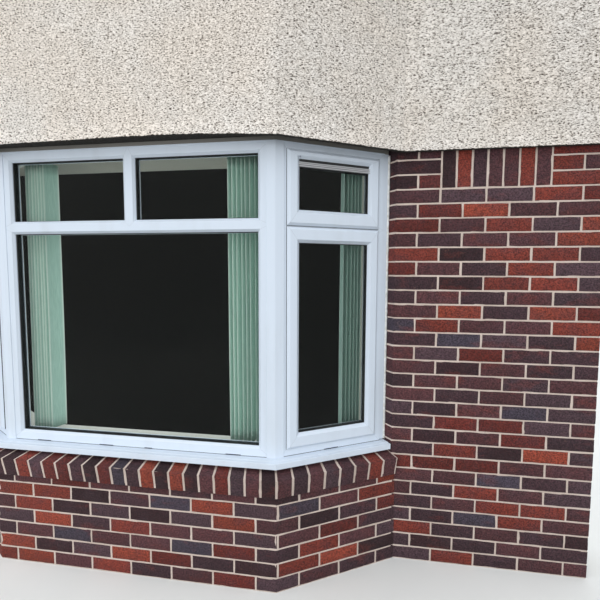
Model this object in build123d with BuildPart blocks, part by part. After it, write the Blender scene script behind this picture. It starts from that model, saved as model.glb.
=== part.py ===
from build123d import *
import os
from math import cos, radians, sin, tan

# A three-sided splayed bay window in the outside wall of a house.
# The part stands on the ground at z = 0, +X to the right seen from the
# garden and +Y into the room. The origin is the middle of its footprint.

# Plan of the bay, in millimetres
opening_width = 2700
front_width = 1520
splay_angle = 30
reveal_depth = 43
reveal_run = 33

# Brick walls, thirty courses of 75 mm up to the render
wall_head = 2250
wall_thickness = 275
side_wall_width = 1012
plinth_proud = 67

# Rendered upper walls
render_thickness = 25
bellcast_flare = 18
bellcast_drop = 42
bellcast_height = 85
bellcast_undercut = 4
bellcast_radius = 240
upper_wall_height = 850

# Sloping brick sill
sill_slope = 10
sill_brick_length = 215
sill_brick_height = 102.5
sill_proud = 40
mortar_bed_edge = 38
mortar_bed_slope = 8

# Plastic cill under the frames
cill_height = 30
cill_projection = 57
cill_fall = 5
cill_nose_lip = 4
cill_nose_wall = 4
cill_nose_radius = 3

# Window frames
frame_height = 1553
frame_depth = 70
frame_sight = 54
fixed_side_sight = 62
fixed_head_sight = 53
fixed_foot_sight = 48
bar_sight = 66
transom_top = 1190
frame_chamfer = 12
frame_lip = 22
head_extension_height = 32
head_extension_setback = 4
extender_width = 37
extender_setback = 3
sealant_width = 8
sealant_depth = 12
reveal_blank_width = 150

# Corner posts
post_core = 25
post_flange = 45
post_cover = 4
post_edge = 1.5

# Opening sashes
sash_overlap = 21
sash_gap = 6
sash_meeting_height = 1152.5
sash_stile = 64
sash_rail = 77
sash_proud = 18
sash_body_depth = 54
sash_clearance = 5
sash_seal_gap = 0.5
sash_outer_chamfer = 16
sash_inner_chamfer = 15
sash_lip = 24
fanlight_top_rail = 41

# Sealed glass units
glass_thickness = 28
glass_cover = 12
glass_edge_gap = 3

# Trickle vents over the fanlight glass
vent_height = 31
vent_depth = 28
vent_slot = 4
vent_ridges = 3
vent_ridge_depth = 3
vent_ridge_rise = 4
vent_proud = 10
vent_end_lap = 12

# Handles on the inside of the sashes
handle_plate_length = 118
handle_plate_width = 27
handle_plate_depth = 10
handle_plate_radius = 9
handle_lever_length = 112
handle_lever_width = 18
handle_lever_depth = 12
handle_lever_radius = 6
handle_neck_radius = 8
handle_neck_length = 26
handle_edge = 3

# Window board and ceiling inside the bay
board_thickness = 22
board_overhang = 30
board_nose_radius = 8
ceiling_thickness = 12.5

# Vertical blinds
rail_height = 28
rail_width = 40
rail_setback = 45
rail_corner_gap = 30
rail_wall_gap = 60
rail_groove_width = 12
rail_groove_depth = 8
vane_width = 89
vane_thickness = 2
vane_floor_gap = 20
vane_hanger_width = 10
vane_hanger_height = 14
left_stack_vanes = 7
left_vane_gap = 18
right_stack_vanes = 9
right_vane_gap = 23
splay_stack_vanes = 6
splay_vane_gap = 24
front_stack_end_gap = 12
splay_stack_end_gap = 20

# Places worked out from the sizes above
half_opening = opening_width / 2
half_front = front_width / 2
splay_sine = sin(radians(splay_angle))
splay_cosine = cos(radians(splay_angle))
mitre_tangent = tan(radians(splay_angle / 2))
splay_reach = half_opening - reveal_run - half_front
splay_length = splay_reach / splay_cosine
bay_projection = splay_reach * splay_sine / splay_cosine - reveal_depth
nose_proud = plinth_proud + render_thickness + bellcast_flare
wall_y = (bay_projection + nose_proud - wall_thickness) / 2
front_y = wall_y - bay_projection
room_y = wall_y + wall_thickness
frame_top = wall_head - head_extension_height
frame_base = frame_top - frame_height
sill_top = frame_base - cill_height
wall_top = wall_head + upper_wall_height
inner_offset = plinth_proud - wall_thickness
outer_x = half_opening + side_wall_width
long_run = opening_width + 2 * side_wall_width

# Directions: out of the glass and along each face
front_out = Vector(0, -1, 0)
front_along = Vector(1, 0, 0)
splay_out = Vector(splay_sine, -splay_cosine, 0)
splay_along = Vector(splay_cosine, splay_sine, 0)
front_middle = Vector(0, front_y, 0)
corner = Vector(half_front, front_y, 0)

# Cutting planes: the mitre at the bay's corner, the mitre where the bay
# meets the house wall, the canted reveal beside the frames, the room side
# and the end of the wall
mitre_x = cos(radians(splay_angle / 2))
mitre_y = sin(radians(splay_angle / 2))
corner_mitre = Plane(origin=tuple(corner), z_dir=(mitre_x, mitre_y, 0))
left_corner_mitre = Plane(origin=(-half_front, front_y, 0), z_dir=(-mitre_x, mitre_y, 0))
brick_meet_run = (wall_y - front_y + plinth_proud * splay_cosine) / splay_sine
brick_meet = corner + splay_out * plinth_proud + splay_along * brick_meet_run
wall_mitre = Plane(origin=tuple(brick_meet), z_dir=(mitre_x, mitre_y, 0))
arris = Vector(half_opening, wall_y, 0)
reveal_out = Vector(reveal_depth, reveal_run, 0).normalized()
reveal_plane = Plane(origin=tuple(arris), z_dir=tuple(reveal_out))
extender_plane = Plane(origin=tuple(arris - reveal_out * sealant_width), z_dir=tuple(reveal_out))
room_plane = Plane(origin=(0, room_y, 0), z_dir=(0, 1, 0))
end_plane = Plane(origin=(outer_x, 0, 0), z_dir=(1, 0, 0))


def section_plane(origin, out, along):
    """Upright plane across a face: local x points out of the wall, y up."""
    return Plane(origin=tuple(origin), x_dir=tuple(out), z_dir=tuple(-along))


def face_plane(origin, out, along, level):
    """Plane in a face of the bay: local x along it, y up, z out of the wall."""
    start = Vector(origin.X, origin.Y, level)
    return Plane(origin=tuple(start), x_dir=tuple(along), z_dir=tuple(out))


front_section = section_plane(front_middle, front_out, front_along)
splay_section = section_plane(corner, splay_out, splay_along)
house_section = section_plane(Vector(0, wall_y, 0), front_out, front_along)
front_face = face_plane(front_middle, front_out, front_along, frame_base)
splay_face = face_plane(corner, splay_out, splay_along, frame_base)


def finish(builder, label):
    """Write one piece under its name."""
    builder.part.label = label
    export_step(builder.part, "parts/" + label + ".step")


def finish_pair(builder, name):
    """Write the right-hand piece and its mirror image on the left."""
    finish(builder, "right_" + name)
    with BuildPart() as other:
        add(mirror(builder.part, about=Plane.YZ))
    finish(other, "left_" + name)


def with_mirror_image(builder):
    """A piece and its mirror image on the left, as one node."""
    with BuildPart() as both_sides:
        add(builder.part)
        add(mirror(builder.part, about=Plane.YZ))
    return both_sides


def facet(section, cuts, profile, rounded=()):
    """Run a profile along one face of the bay and trim it by the given cuts.

    rounded lists corners of the profile with the radius of each.
    """
    with BuildPart() as run:
        with BuildSketch(section) as outline:
            with BuildLine():
                Polyline(profile, close=True)
            make_face()
            for point, radius in rounded:
                fillet(outline.vertices().sort_by_distance(point)[0], radius)
        extrude(amount=long_run, both=True)
        for plane, side in cuts:
            split(bisect_by=plane, keep=side)
    return run


front_cuts = [(corner_mitre, Keep.BOTTOM), (left_corner_mitre, Keep.BOTTOM)]
splay_cuts = [(corner_mitre, Keep.TOP), (reveal_plane, Keep.BOTTOM), (room_plane, Keep.BOTTOM)]

os.makedirs("parts", exist_ok=True)

# Brick sill and dwarf wall: the sill's bricks lie on edge and slope outwards
slope_sine = sin(radians(sill_slope))
slope_cosine = cos(radians(sill_slope))
sill_nose = plinth_proud + sill_proud
sill_back_top = (sill_nose - sill_brick_length * slope_cosine, sill_top)
sill_nose_top = (sill_nose, sill_top - sill_brick_length * slope_sine)
sill_drop = (-sill_brick_height * slope_sine, -sill_brick_height * slope_cosine)
sill_nose_foot = (sill_nose_top[0] + sill_drop[0], sill_nose_top[1] + sill_drop[1])
sill_back_foot = (sill_back_top[0] + sill_drop[0], sill_back_top[1] + sill_drop[1])
slope_fall = slope_sine / slope_cosine


def slope_height(out):
    """Height of the sill's sloping top at a distance out from the frames."""
    return sill_top - (out - sill_back_top[0]) * slope_fall


bed_toe = mortar_bed_edge + mortar_bed_slope
sill_profile = [
    sill_back_top,
    (mortar_bed_edge, sill_top),
    (bed_toe, slope_height(bed_toe)),
    sill_nose_top,
    sill_nose_foot,
    sill_back_foot,
]
plinth_seat = sill_back_foot[1] - (plinth_proud - sill_back_foot[0]) * slope_fall
plinth_profile = [
    (plinth_proud, 0),
    (plinth_proud, plinth_seat),
    sill_back_foot,
    sill_back_top,
    (inner_offset, sill_top),
    (inner_offset, 0),
]
finish(facet(front_section, front_cuts, plinth_profile), "front_plinth")
finish_pair(facet(splay_section, splay_cuts, plinth_profile), "plinth")
finish(facet(front_section, front_cuts, sill_profile), "front_brick_sill")
finish_pair(facet(splay_section, splay_cuts, sill_profile), "brick_sill")

# House wall beside the bay, its end canted towards the frames
reveal_back_x = half_opening - wall_thickness * reveal_run / reveal_depth
side_wall_outline = [
    (half_opening, wall_y),
    (outer_x, wall_y),
    (outer_x, room_y),
    (reveal_back_x, room_y),
]
with BuildPart() as side_wall:
    with BuildSketch():
        with BuildLine():
            Polyline(side_wall_outline, close=True)
        make_face()
    extrude(amount=wall_head)
finish_pair(side_wall, "wall")

# Rendered upper walls: the foot of the render sweeps out to a drip
def upper_wall(section, cuts, face):
    """Rendered wall with its masonry face at a distance out from the section."""
    outside = face + render_thickness
    inside = face - wall_thickness
    drip = wall_head - bellcast_drop
    sweep_start = (outside, drip + bellcast_height)
    profile = [
        (inside, wall_head),
        (face, wall_head),
        (face, drip + bellcast_undercut),
        (outside + bellcast_flare, drip),
        sweep_start,
        (outside, wall_top),
        (inside, wall_top),
    ]
    return facet(section, cuts, profile, [(sweep_start, bellcast_radius)])


bay_upper_cuts = [(corner_mitre, Keep.TOP), (wall_mitre, Keep.BOTTOM)]
house_upper_cuts = [(wall_mitre, Keep.TOP), (end_plane, Keep.BOTTOM)]
finish(upper_wall(front_section, front_cuts, plinth_proud), "front_upper_wall")
finish_pair(upper_wall(splay_section, bay_upper_cuts, plinth_proud), "bay_upper_wall")
finish_pair(upper_wall(house_section, house_upper_cuts, 0), "upper_wall")

# Plastic cill: a falling top, a rounded nose and a drip lip
cill_nose = (cill_projection, frame_base - cill_fall)
cill_profile = [
    (-frame_depth, sill_top),
    (-frame_depth, frame_base),
    (0, frame_base),
    cill_nose,
    (cill_projection, sill_top - cill_nose_lip),
    (cill_projection - cill_nose_wall, sill_top - cill_nose_lip),
    (cill_projection - cill_nose_wall, sill_top + cill_nose_wall),
    (mortar_bed_edge, sill_top + cill_nose_wall),
    (mortar_bed_edge, sill_top),
]
cill_cuts = [(corner_mitre, Keep.TOP), (extender_plane, Keep.BOTTOM)]
cill_rounding = [(cill_nose, cill_nose_radius)]
finish(facet(front_section, front_cuts, cill_profile, cill_rounding), "front_cill")
finish_pair(facet(splay_section, cill_cuts, cill_profile, cill_rounding), "cill")

# Head extension: one strip over the three frames, up to the wall head
head_profile = [
    (-frame_depth, frame_top),
    (-head_extension_setback, frame_top),
    (-head_extension_setback, wall_head),
    (-frame_depth, wall_head),
]
head_front = facet(front_section, front_cuts, head_profile)
head_right = facet(splay_section, cill_cuts, head_profile)
with BuildPart() as head_extension:
    add(head_front.part)
    add(with_mirror_image(head_right).part)
finish(head_extension, "head_extension")


# Frames: a light is the opening for its glass as (left, right, foot, head)
def light_rectangle(light, margin=0):
    """Rectangle of a light on the current face, grown by a margin."""
    left, right, foot, head = light
    with Locations(((left + right) / 2, (foot + head) / 2)):
        Rectangle(right - left + 2 * margin, head - foot + 2 * margin)


half_frame = half_front - post_core
half_clear = half_frame - fixed_side_sight
transom_foot = transom_top - bar_sight
lower_light = (-half_clear, half_clear, fixed_foot_sight, transom_foot)
upper_head = frame_height - fixed_head_sight
upper_left_light = (-half_clear, -bar_sight / 2, transom_top, upper_head)
upper_right_light = (bar_sight / 2, half_clear, transom_top, upper_head)
front_lights = (lower_light, upper_left_light, upper_right_light)
pocket_margin = glass_cover + glass_edge_gap

with BuildPart() as front_frame:
    with BuildSketch(front_face):
        with Locations((0, frame_height / 2)):
            Rectangle(2 * half_frame, frame_height)
        for light in front_lights:
            with BuildSketch(mode=Mode.PRIVATE) as opening:
                light_rectangle(light)
            add(opening.sketch, mode=Mode.SUBTRACT)
    extrude(amount=-frame_depth)
    outside = front_frame.faces().sort_by(Axis(front_face.origin, front_face.z_dir))[-1]
    chamfer(outside.inner_wires().edges(), length=frame_chamfer)
    with BuildSketch(front_face.offset(-frame_lip)):
        for light in front_lights:
            light_rectangle(light, pocket_margin)
    extrude(amount=-glass_thickness, mode=Mode.SUBTRACT)
finish(front_frame, "front_frame")


def glass_unit(plane, light, depth):
    """A sealed unit, resting on the foot of its pocket."""
    left, right, foot, head = light
    with BuildPart() as unit:
        with BuildSketch(plane.offset(-depth)):
            with Locations(((left + right) / 2, foot - pocket_margin)):
                Rectangle(
                    right - left + 2 * glass_cover,
                    head - foot + glass_cover + pocket_margin,
                    align=(Align.CENTER, Align.MIN),
                )
        extrude(amount=-glass_thickness)
    return unit


finish(glass_unit(front_face, lower_light, frame_lip), "front_lower_glass")
upper_right_unit = glass_unit(front_face, upper_right_light, frame_lip)
finish(with_mirror_image(upper_right_unit), "front_upper_glass")

# Side frame with a fanlight over a casement
side_left = post_core
side_right = splay_length - extender_width
clear_left = side_left + frame_sight
clear_right = side_right - frame_sight
casement_head = sash_meeting_height - sash_gap / 2 - sash_overlap
fanlight_foot = sash_meeting_height + sash_gap / 2 + sash_overlap
casement_clear = (clear_left, clear_right, frame_sight, casement_head)
fanlight_clear = (clear_left, clear_right, fanlight_foot, frame_height - frame_sight)

with BuildPart() as side_frame:
    with BuildSketch(splay_face):
        with Locations(((side_left + side_right) / 2, frame_height / 2)):
            Rectangle(side_right - side_left, frame_height)
        for light in (casement_clear, fanlight_clear):
            with BuildSketch(mode=Mode.PRIVATE) as opening:
                light_rectangle(light)
            add(opening.sketch, mode=Mode.SUBTRACT)
    extrude(amount=-frame_depth)
finish_pair(side_frame, "frame")


def grown(light, margin):
    """The same rectangle with all its sides moved out by a margin."""
    left, right, foot, head = light
    return (left - margin, right + margin, foot - margin, head + margin)


def shrunk_to_glass(outer, top_rail):
    """A sash's glass opening, from its outer edges and top rail."""
    left, right, foot, head = outer
    return (left + sash_stile, right - sash_stile, foot + sash_rail, head - top_rail)


def sash(clear, glass_opening):
    """Z-section sash: a proud face over the frame and a body inside it."""
    with BuildPart() as leaf:
        with BuildSketch(splay_face.offset(sash_seal_gap)):
            light_rectangle(clear, sash_overlap)
        extrude(amount=sash_proud - sash_seal_gap)
        outside = leaf.faces().sort_by(Axis(splay_face.origin, splay_face.z_dir))[-1]
        chamfer(outside.edges(), length=sash_outer_chamfer)
        with BuildSketch(splay_face.offset(sash_seal_gap)):
            light_rectangle(clear, -sash_clearance)
        extrude(amount=-sash_body_depth)
        with BuildSketch(splay_face.offset(sash_proud)):
            light_rectangle(glass_opening)
        extrude(amount=-sash_proud - sash_body_depth, mode=Mode.SUBTRACT)
        outside = leaf.faces().sort_by(Axis(splay_face.origin, splay_face.z_dir))[-1]
        chamfer(outside.inner_wires().edges(), length=sash_inner_chamfer)
        with BuildSketch(splay_face.offset(sash_proud - sash_lip)):
            light_rectangle(glass_opening, pocket_margin)
        extrude(amount=-glass_thickness, mode=Mode.SUBTRACT)
    return leaf


casement_outer = grown(casement_clear, sash_overlap)
fanlight_outer = grown(fanlight_clear, sash_overlap)
casement_light = shrunk_to_glass(casement_outer, sash_rail)
fanlight_light = shrunk_to_glass(fanlight_outer, fanlight_top_rail)
fanlight_leaf = sash(fanlight_clear, fanlight_light)
finish_pair(sash(casement_clear, casement_light), "casement_sash")
finish_pair(fanlight_leaf, "fanlight_sash")
glass_depth = sash_lip - sash_proud
finish_pair(glass_unit(splay_face, casement_light, glass_depth), "casement_glass")
fan_left, fan_right, fan_foot, fan_head = fanlight_light
vent_foot = fan_head - vent_slot - vent_height
fanlight_pane = (fan_left, fan_right, fan_foot, vent_foot - glass_cover)
finish_pair(glass_unit(splay_face, fanlight_pane, glass_depth), "fanlight_glass")

# Trickle vent: a ridged bar on top of the fanlight's glass, its face out
# over the sash's inner chamfer and its ends cut to that chamfer
vent_face = vent_proud - vent_ridge_depth
ridge_pitch = vent_height / vent_ridges
vent_points = [(-vent_depth + vent_face, vent_foot), (vent_face, vent_foot)]
for ridge in range(vent_ridges):
    ridge_foot = vent_foot + ridge * ridge_pitch
    vent_points.append((vent_face + vent_ridge_depth, ridge_foot + vent_ridge_rise))
    vent_points.append((vent_face, ridge_foot + ridge_pitch))
vent_points.append((-vent_depth + vent_face, vent_foot + vent_height))
vent_section = Plane(
    origin=tuple(splay_face.origin + splay_along * (fan_left - vent_end_lap)),
    x_dir=tuple(splay_out),
    z_dir=tuple(-splay_along),
)
with BuildPart() as trickle_vent:
    with BuildSketch(vent_section):
        with BuildLine():
            Polyline(vent_points, close=True)
        make_face()
    extrude(amount=fan_left - fan_right - 2 * vent_end_lap)
    add(fanlight_leaf.part, mode=Mode.SUBTRACT)
finish(with_mirror_image(trickle_vent), "trickle_vents")

# Corner post: a core between two frame ends, with covers inside and out
def front_point(along, inward):
    """Plan point from the corner along the front, and in from its face."""
    return (half_front - along, front_y + inward)


def splay_point(along, inward):
    """Plan point from the corner along the splay, and in from its face."""
    point = corner + splay_along * along - splay_out * inward
    return (point.X, point.Y)


def mitre_point(inward):
    """Plan point on the corner's mitre, in from the faces."""
    return (half_front - inward * mitre_tangent, front_y + inward)


post_back = frame_depth + post_cover
post_profile = [
    front_point(post_flange, 0),
    front_point(post_flange - post_edge, -post_cover),
    mitre_point(-post_cover),
    splay_point(post_flange - post_edge, -post_cover),
    splay_point(post_flange, 0),
    splay_point(post_core, 0),
    splay_point(post_core, frame_depth),
    splay_point(post_flange, frame_depth),
    splay_point(post_flange - post_edge, post_back),
    mitre_point(post_back),
    front_point(post_flange - post_edge, post_back),
    front_point(post_flange, frame_depth),
    front_point(post_core, frame_depth),
    front_point(post_core, 0),
]
with BuildPart() as corner_post:
    with BuildSketch(Plane.XY.offset(frame_base)):
        with BuildLine():
            Polyline(post_profile, close=True)
        make_face()
    extrude(amount=frame_height)
finish_pair(corner_post, "corner_post")

# Extender and sealant between the side frame and the brick reveal
with BuildPart() as extender:
    with BuildSketch(splay_face.offset(-extender_setback)):
        with Locations((side_right, 0)):
            Rectangle(reveal_blank_width, frame_height, align=(Align.MIN, Align.MIN))
    extrude(amount=2 * extender_setback - frame_depth)
    split(bisect_by=extender_plane, keep=Keep.BOTTOM)
finish_pair(extender, "extender")

with BuildPart() as sealant:
    with BuildSketch(splay_face.offset(-extender_setback)):
        with Locations((side_right, 0)):
            Rectangle(reveal_blank_width, frame_height, align=(Align.MIN, Align.MIN))
    extrude(amount=-sealant_depth)
    split(bisect_by=extender_plane, keep=Keep.TOP)
    split(bisect_by=reveal_plane, keep=Keep.BOTTOM)
finish(with_mirror_image(sealant), "sealant_joints")


# Handles inside: a plate, a neck and a lever
def handle(plane, across, up, lever_direction):
    """Handle on a sash's inner face, its lever along local (x, y)."""
    with BuildPart() as grip:
        with BuildSketch(plane):
            with Locations(Location((across, up, 0), lever_direction)):
                RectangleRounded(handle_plate_width, handle_plate_length, handle_plate_radius)
        extrude(amount=-handle_plate_depth)
        room_side = grip.faces().sort_by(Axis(plane.origin, plane.z_dir))[0]
        chamfer(room_side.edges(), length=handle_edge)
        with BuildSketch(plane):
            with Locations((across, up)):
                Circle(handle_neck_radius)
        extrude(amount=-handle_plate_depth - handle_neck_length)
        with BuildSketch(plane.offset(-handle_plate_depth - handle_neck_length + handle_lever_depth)):
            with Locations(Location((across, up, 0), lever_direction)):
                with Locations((0, (handle_lever_width - handle_lever_length) / 2)):
                    RectangleRounded(handle_lever_width, handle_lever_length, handle_lever_radius)
        extrude(amount=-handle_lever_depth)
    return grip


sash_back = splay_face.offset(sash_seal_gap - sash_body_depth)
stile_middle = (casement_light[0] + clear_left + sash_clearance) / 2
rail_middle = (fan_foot + fanlight_foot + sash_clearance) / 2
casement_handle_height = (frame_sight + casement_head) / 2
with BuildPart() as handles:
    add(handle(sash_back, stile_middle, casement_handle_height, 0).part)
    add(handle(sash_back, (fan_left + fan_right) / 2, rail_middle, 90).part)
finish_pair(handles, "handles")


# Ceiling inside the bay, from the backs of the frames to the room
ceiling_foot = wall_head - ceiling_thickness
ceiling_outline = [
    (0, front_y + frame_depth),
    mitre_point(frame_depth),
    splay_point(splay_length, frame_depth),
    (outer_x, room_y),
    (0, room_y),
]
with BuildPart() as half_ceiling:
    with BuildSketch(Plane.XY.offset(ceiling_foot)):
        with BuildLine():
            Polyline(ceiling_outline, close=True)
        make_face()
    extrude(amount=ceiling_thickness)
    split(bisect_by=reveal_plane, keep=Keep.BOTTOM)
finish(with_mirror_image(half_ceiling), "bay_ceiling")

# Window board: lies on the dwarf wall, with a rounded nose into the bay
board_top = sill_top + board_thickness
board_nose = inner_offset - board_overhang
board_profile = [
    (-frame_depth, sill_top),
    (-frame_depth, board_top),
    (board_nose, board_top),
    (board_nose, sill_top),
]
board_rounding = [((board_nose, level), board_nose_radius) for level in (board_top, sill_top)]
board_front = facet(front_section, front_cuts, board_profile, board_rounding)
board_right = facet(splay_section, splay_cuts, board_profile, board_rounding)
with BuildPart() as window_board:
    add(board_front.part)
    add(with_mirror_image(board_right).part)
finish(window_board, "window_board")

# Vertical blinds: a head rail on each face and vanes drawn to its ends
rail_foot = ceiling_foot - rail_height
rail_middle_depth = frame_depth + rail_setback + vane_width / 2


def head_rail(plane, start, end):
    """Head rail with a groove along its foot, between two places on a face."""
    with BuildPart() as rail:
        with BuildSketch(plane.offset(-rail_middle_depth)):
            with Locations(((start + end) / 2, rail_foot - frame_base)):
                Rectangle(end - start, rail_height, align=(Align.CENTER, Align.MIN))
        extrude(amount=rail_width / 2, both=True)
        with BuildSketch(plane.offset(-rail_middle_depth)):
            with Locations(((start + end) / 2, rail_foot - frame_base)):
                Rectangle(end - start, rail_groove_depth, align=(Align.CENTER, Align.MIN))
        extrude(amount=rail_groove_width / 2, both=True, mode=Mode.SUBTRACT)
    return rail


vane_foot = board_top + vane_floor_gap
vane_head = rail_foot - vane_hanger_height


def vane_stack(plane, last, count, gap):
    """Vanes hung square to the window, back from the last one along local x."""
    places = [last - index * gap for index in range(count)]
    with BuildPart() as stack:
        with BuildSketch(plane.offset(-rail_middle_depth)):
            with Locations([(place, vane_foot - frame_base) for place in places]):
                Rectangle(vane_thickness, vane_head - vane_foot, align=(Align.CENTER, Align.MIN))
        extrude(amount=vane_width / 2, both=True)
        with BuildSketch(plane.offset(-rail_middle_depth)):
            with Locations([(place, vane_head - frame_base) for place in places]):
                Rectangle(
                    vane_thickness,
                    vane_hanger_height + rail_groove_depth,
                    align=(Align.CENTER, Align.MIN),
                )
        extrude(amount=vane_hanger_width / 2, both=True)
    return stack


rail_inside = (rail_middle_depth + rail_width / 2) * mitre_tangent
front_rail_end = half_front - rail_corner_gap - rail_inside
splay_rail_start = rail_corner_gap + rail_inside
splay_rail_end = splay_length - rail_wall_gap
with BuildPart() as blind_rails:
    add(head_rail(front_face, -front_rail_end, front_rail_end).part)
    add(with_mirror_image(head_rail(splay_face, splay_rail_start, splay_rail_end)).part)
finish(blind_rails, "blind_rails")

front_last = front_rail_end - front_stack_end_gap
left_stack = vane_stack(front_face, front_last, left_stack_vanes, left_vane_gap)
with BuildPart() as front_vanes:
    add(vane_stack(front_face, front_last, right_stack_vanes, right_vane_gap).part)
    add(mirror(left_stack.part, about=Plane.YZ))
finish(front_vanes, "front_vanes")
splay_last = splay_rail_end - splay_stack_end_gap
splay_stack = vane_stack(splay_face, splay_last, splay_stack_vanes, splay_vane_gap)
finish_pair(splay_stack, "vanes")
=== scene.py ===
import math
from functools import lru_cache

import bmesh
import bpy
import numpy as np
from mathutils import Matrix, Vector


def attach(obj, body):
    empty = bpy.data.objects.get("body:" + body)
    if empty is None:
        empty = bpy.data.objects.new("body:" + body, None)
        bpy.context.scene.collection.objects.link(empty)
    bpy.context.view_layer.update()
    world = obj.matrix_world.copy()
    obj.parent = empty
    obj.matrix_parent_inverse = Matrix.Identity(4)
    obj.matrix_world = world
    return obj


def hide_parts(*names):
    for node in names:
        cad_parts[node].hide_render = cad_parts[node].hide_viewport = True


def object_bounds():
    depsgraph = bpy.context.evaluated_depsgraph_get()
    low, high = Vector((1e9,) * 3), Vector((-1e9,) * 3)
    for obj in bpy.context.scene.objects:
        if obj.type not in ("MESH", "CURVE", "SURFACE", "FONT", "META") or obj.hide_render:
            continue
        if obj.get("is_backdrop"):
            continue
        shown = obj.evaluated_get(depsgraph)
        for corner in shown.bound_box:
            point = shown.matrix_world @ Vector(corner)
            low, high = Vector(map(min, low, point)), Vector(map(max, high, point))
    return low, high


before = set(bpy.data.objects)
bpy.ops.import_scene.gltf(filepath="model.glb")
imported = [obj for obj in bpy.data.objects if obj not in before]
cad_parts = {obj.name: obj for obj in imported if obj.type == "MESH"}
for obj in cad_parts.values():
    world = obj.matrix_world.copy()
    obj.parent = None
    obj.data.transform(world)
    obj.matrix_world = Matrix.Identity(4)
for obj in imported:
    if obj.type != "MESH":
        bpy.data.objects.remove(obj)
cad_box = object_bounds()
rng = np.random.default_rng(41)
SIDES = (("right", False), ("left", True))

# Sizes of the bay in metres, as in the solid model
HALF_OPENING = 1.35
HALF_FRONT = 0.76
SPLAY_COS = math.cos(math.radians(30))
SPLAY_SIN = 0.5
MITRE = math.tan(math.radians(15))
REVEAL_RUN = 0.033
REVEAL_DEPTH = 0.043
WALL_HEAD = 2.25
WALL_TOP = 3.1
WALL_THICK = 0.275
OUTER_X = 2.362
PLINTH_PROUD = 0.067
REACH = HALF_OPENING - REVEAL_RUN - HALF_FRONT
PROJECTION = REACH * SPLAY_SIN / SPLAY_COS - REVEAL_DEPTH
WALL_Y = (PROJECTION + 0.110 - WALL_THICK) / 2
FRONT_Y = WALL_Y - PROJECTION
SPLAY_LENGTH = REACH / SPLAY_COS
FRAME_HEIGHT = 1.553
FRAME_TOP = WALL_HEAD - 0.032
FRAME_BASE = FRAME_TOP - FRAME_HEIGHT
SILL_TOP = FRAME_BASE - 0.03
FRAME_DEPTH = 0.07

# Unit directions in plan
SPLAY_ALONG = np.array([SPLAY_COS, SPLAY_SIN])
SPLAY_OUT = np.array([SPLAY_SIN, -SPLAY_COS])
REVEAL_LINE = np.array([-REVEAL_RUN, REVEAL_DEPTH]) / math.hypot(REVEAL_RUN, REVEAL_DEPTH)
REVEAL_NORMAL = np.array([REVEAL_LINE[1], -REVEAL_LINE[0]])
ARRIS = np.array([HALF_OPENING, WALL_Y])
CORNER = np.array([HALF_FRONT, FRONT_Y])


# ---------------------------------------------------------------- materials
def rgb(red, green, blue):
    """Linear colour from values of 0 to 255 as seen on a screen."""
    linear = []
    for value in (red / 255, green / 255, blue / 255):
        linear.append(value / 12.92 if value <= 0.04045 else ((value + 0.055) / 1.055) ** 2.4)
    return (*linear, 1.0)


class Nodes:
    """The node tree of a material or a world, built up node by node."""

    def __init__(self, owner):
        owner.use_nodes = True
        self.tree = owner.node_tree
        self.tree.nodes.clear()

    def put(self, socket, value):
        """Link a socket to another, or give it a value."""
        if isinstance(value, bpy.types.NodeSocket):
            self.tree.links.new(value, socket)
        else:
            socket.default_value = value

    def node(self, kind, settings=None, **inputs):
        made = self.tree.nodes.new("ShaderNode" + kind)
        for key, value in (settings or {}).items():
            setattr(made, key, value)
        for key, value in inputs.items():
            self.put(made.inputs[key.replace("_", " ")], value)
        return made

    def ramp(self, value, low, high, to_low=0.0, to_high=1.0):
        limits = {"From_Min": low, "From_Max": high, "To_Min": to_low, "To_Max": to_high}
        return self.node("MapRange", {"interpolation_type": "SMOOTHSTEP"}, Value=value, **limits).outputs[0]

    def math(self, kind, first, second):
        made = self.node("Math", {"operation": kind})
        self.put(made.inputs[0], first)
        self.put(made.inputs[1], second)
        return made.outputs[0]

    def times(self, first, second):
        return self.math("MULTIPLY", first, second)

    def larger(self, first, second):
        return self.math("MAXIMUM", first, second)

    def seen(self):
        """1 for what is looked at, also in metal or through glass, and 0 for light."""
        path = self.node("LightPath").outputs
        return self.larger(path["Is Camera Ray"], self.larger(path["Is Glossy Ray"], path["Is Transmission Ray"]))


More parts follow.
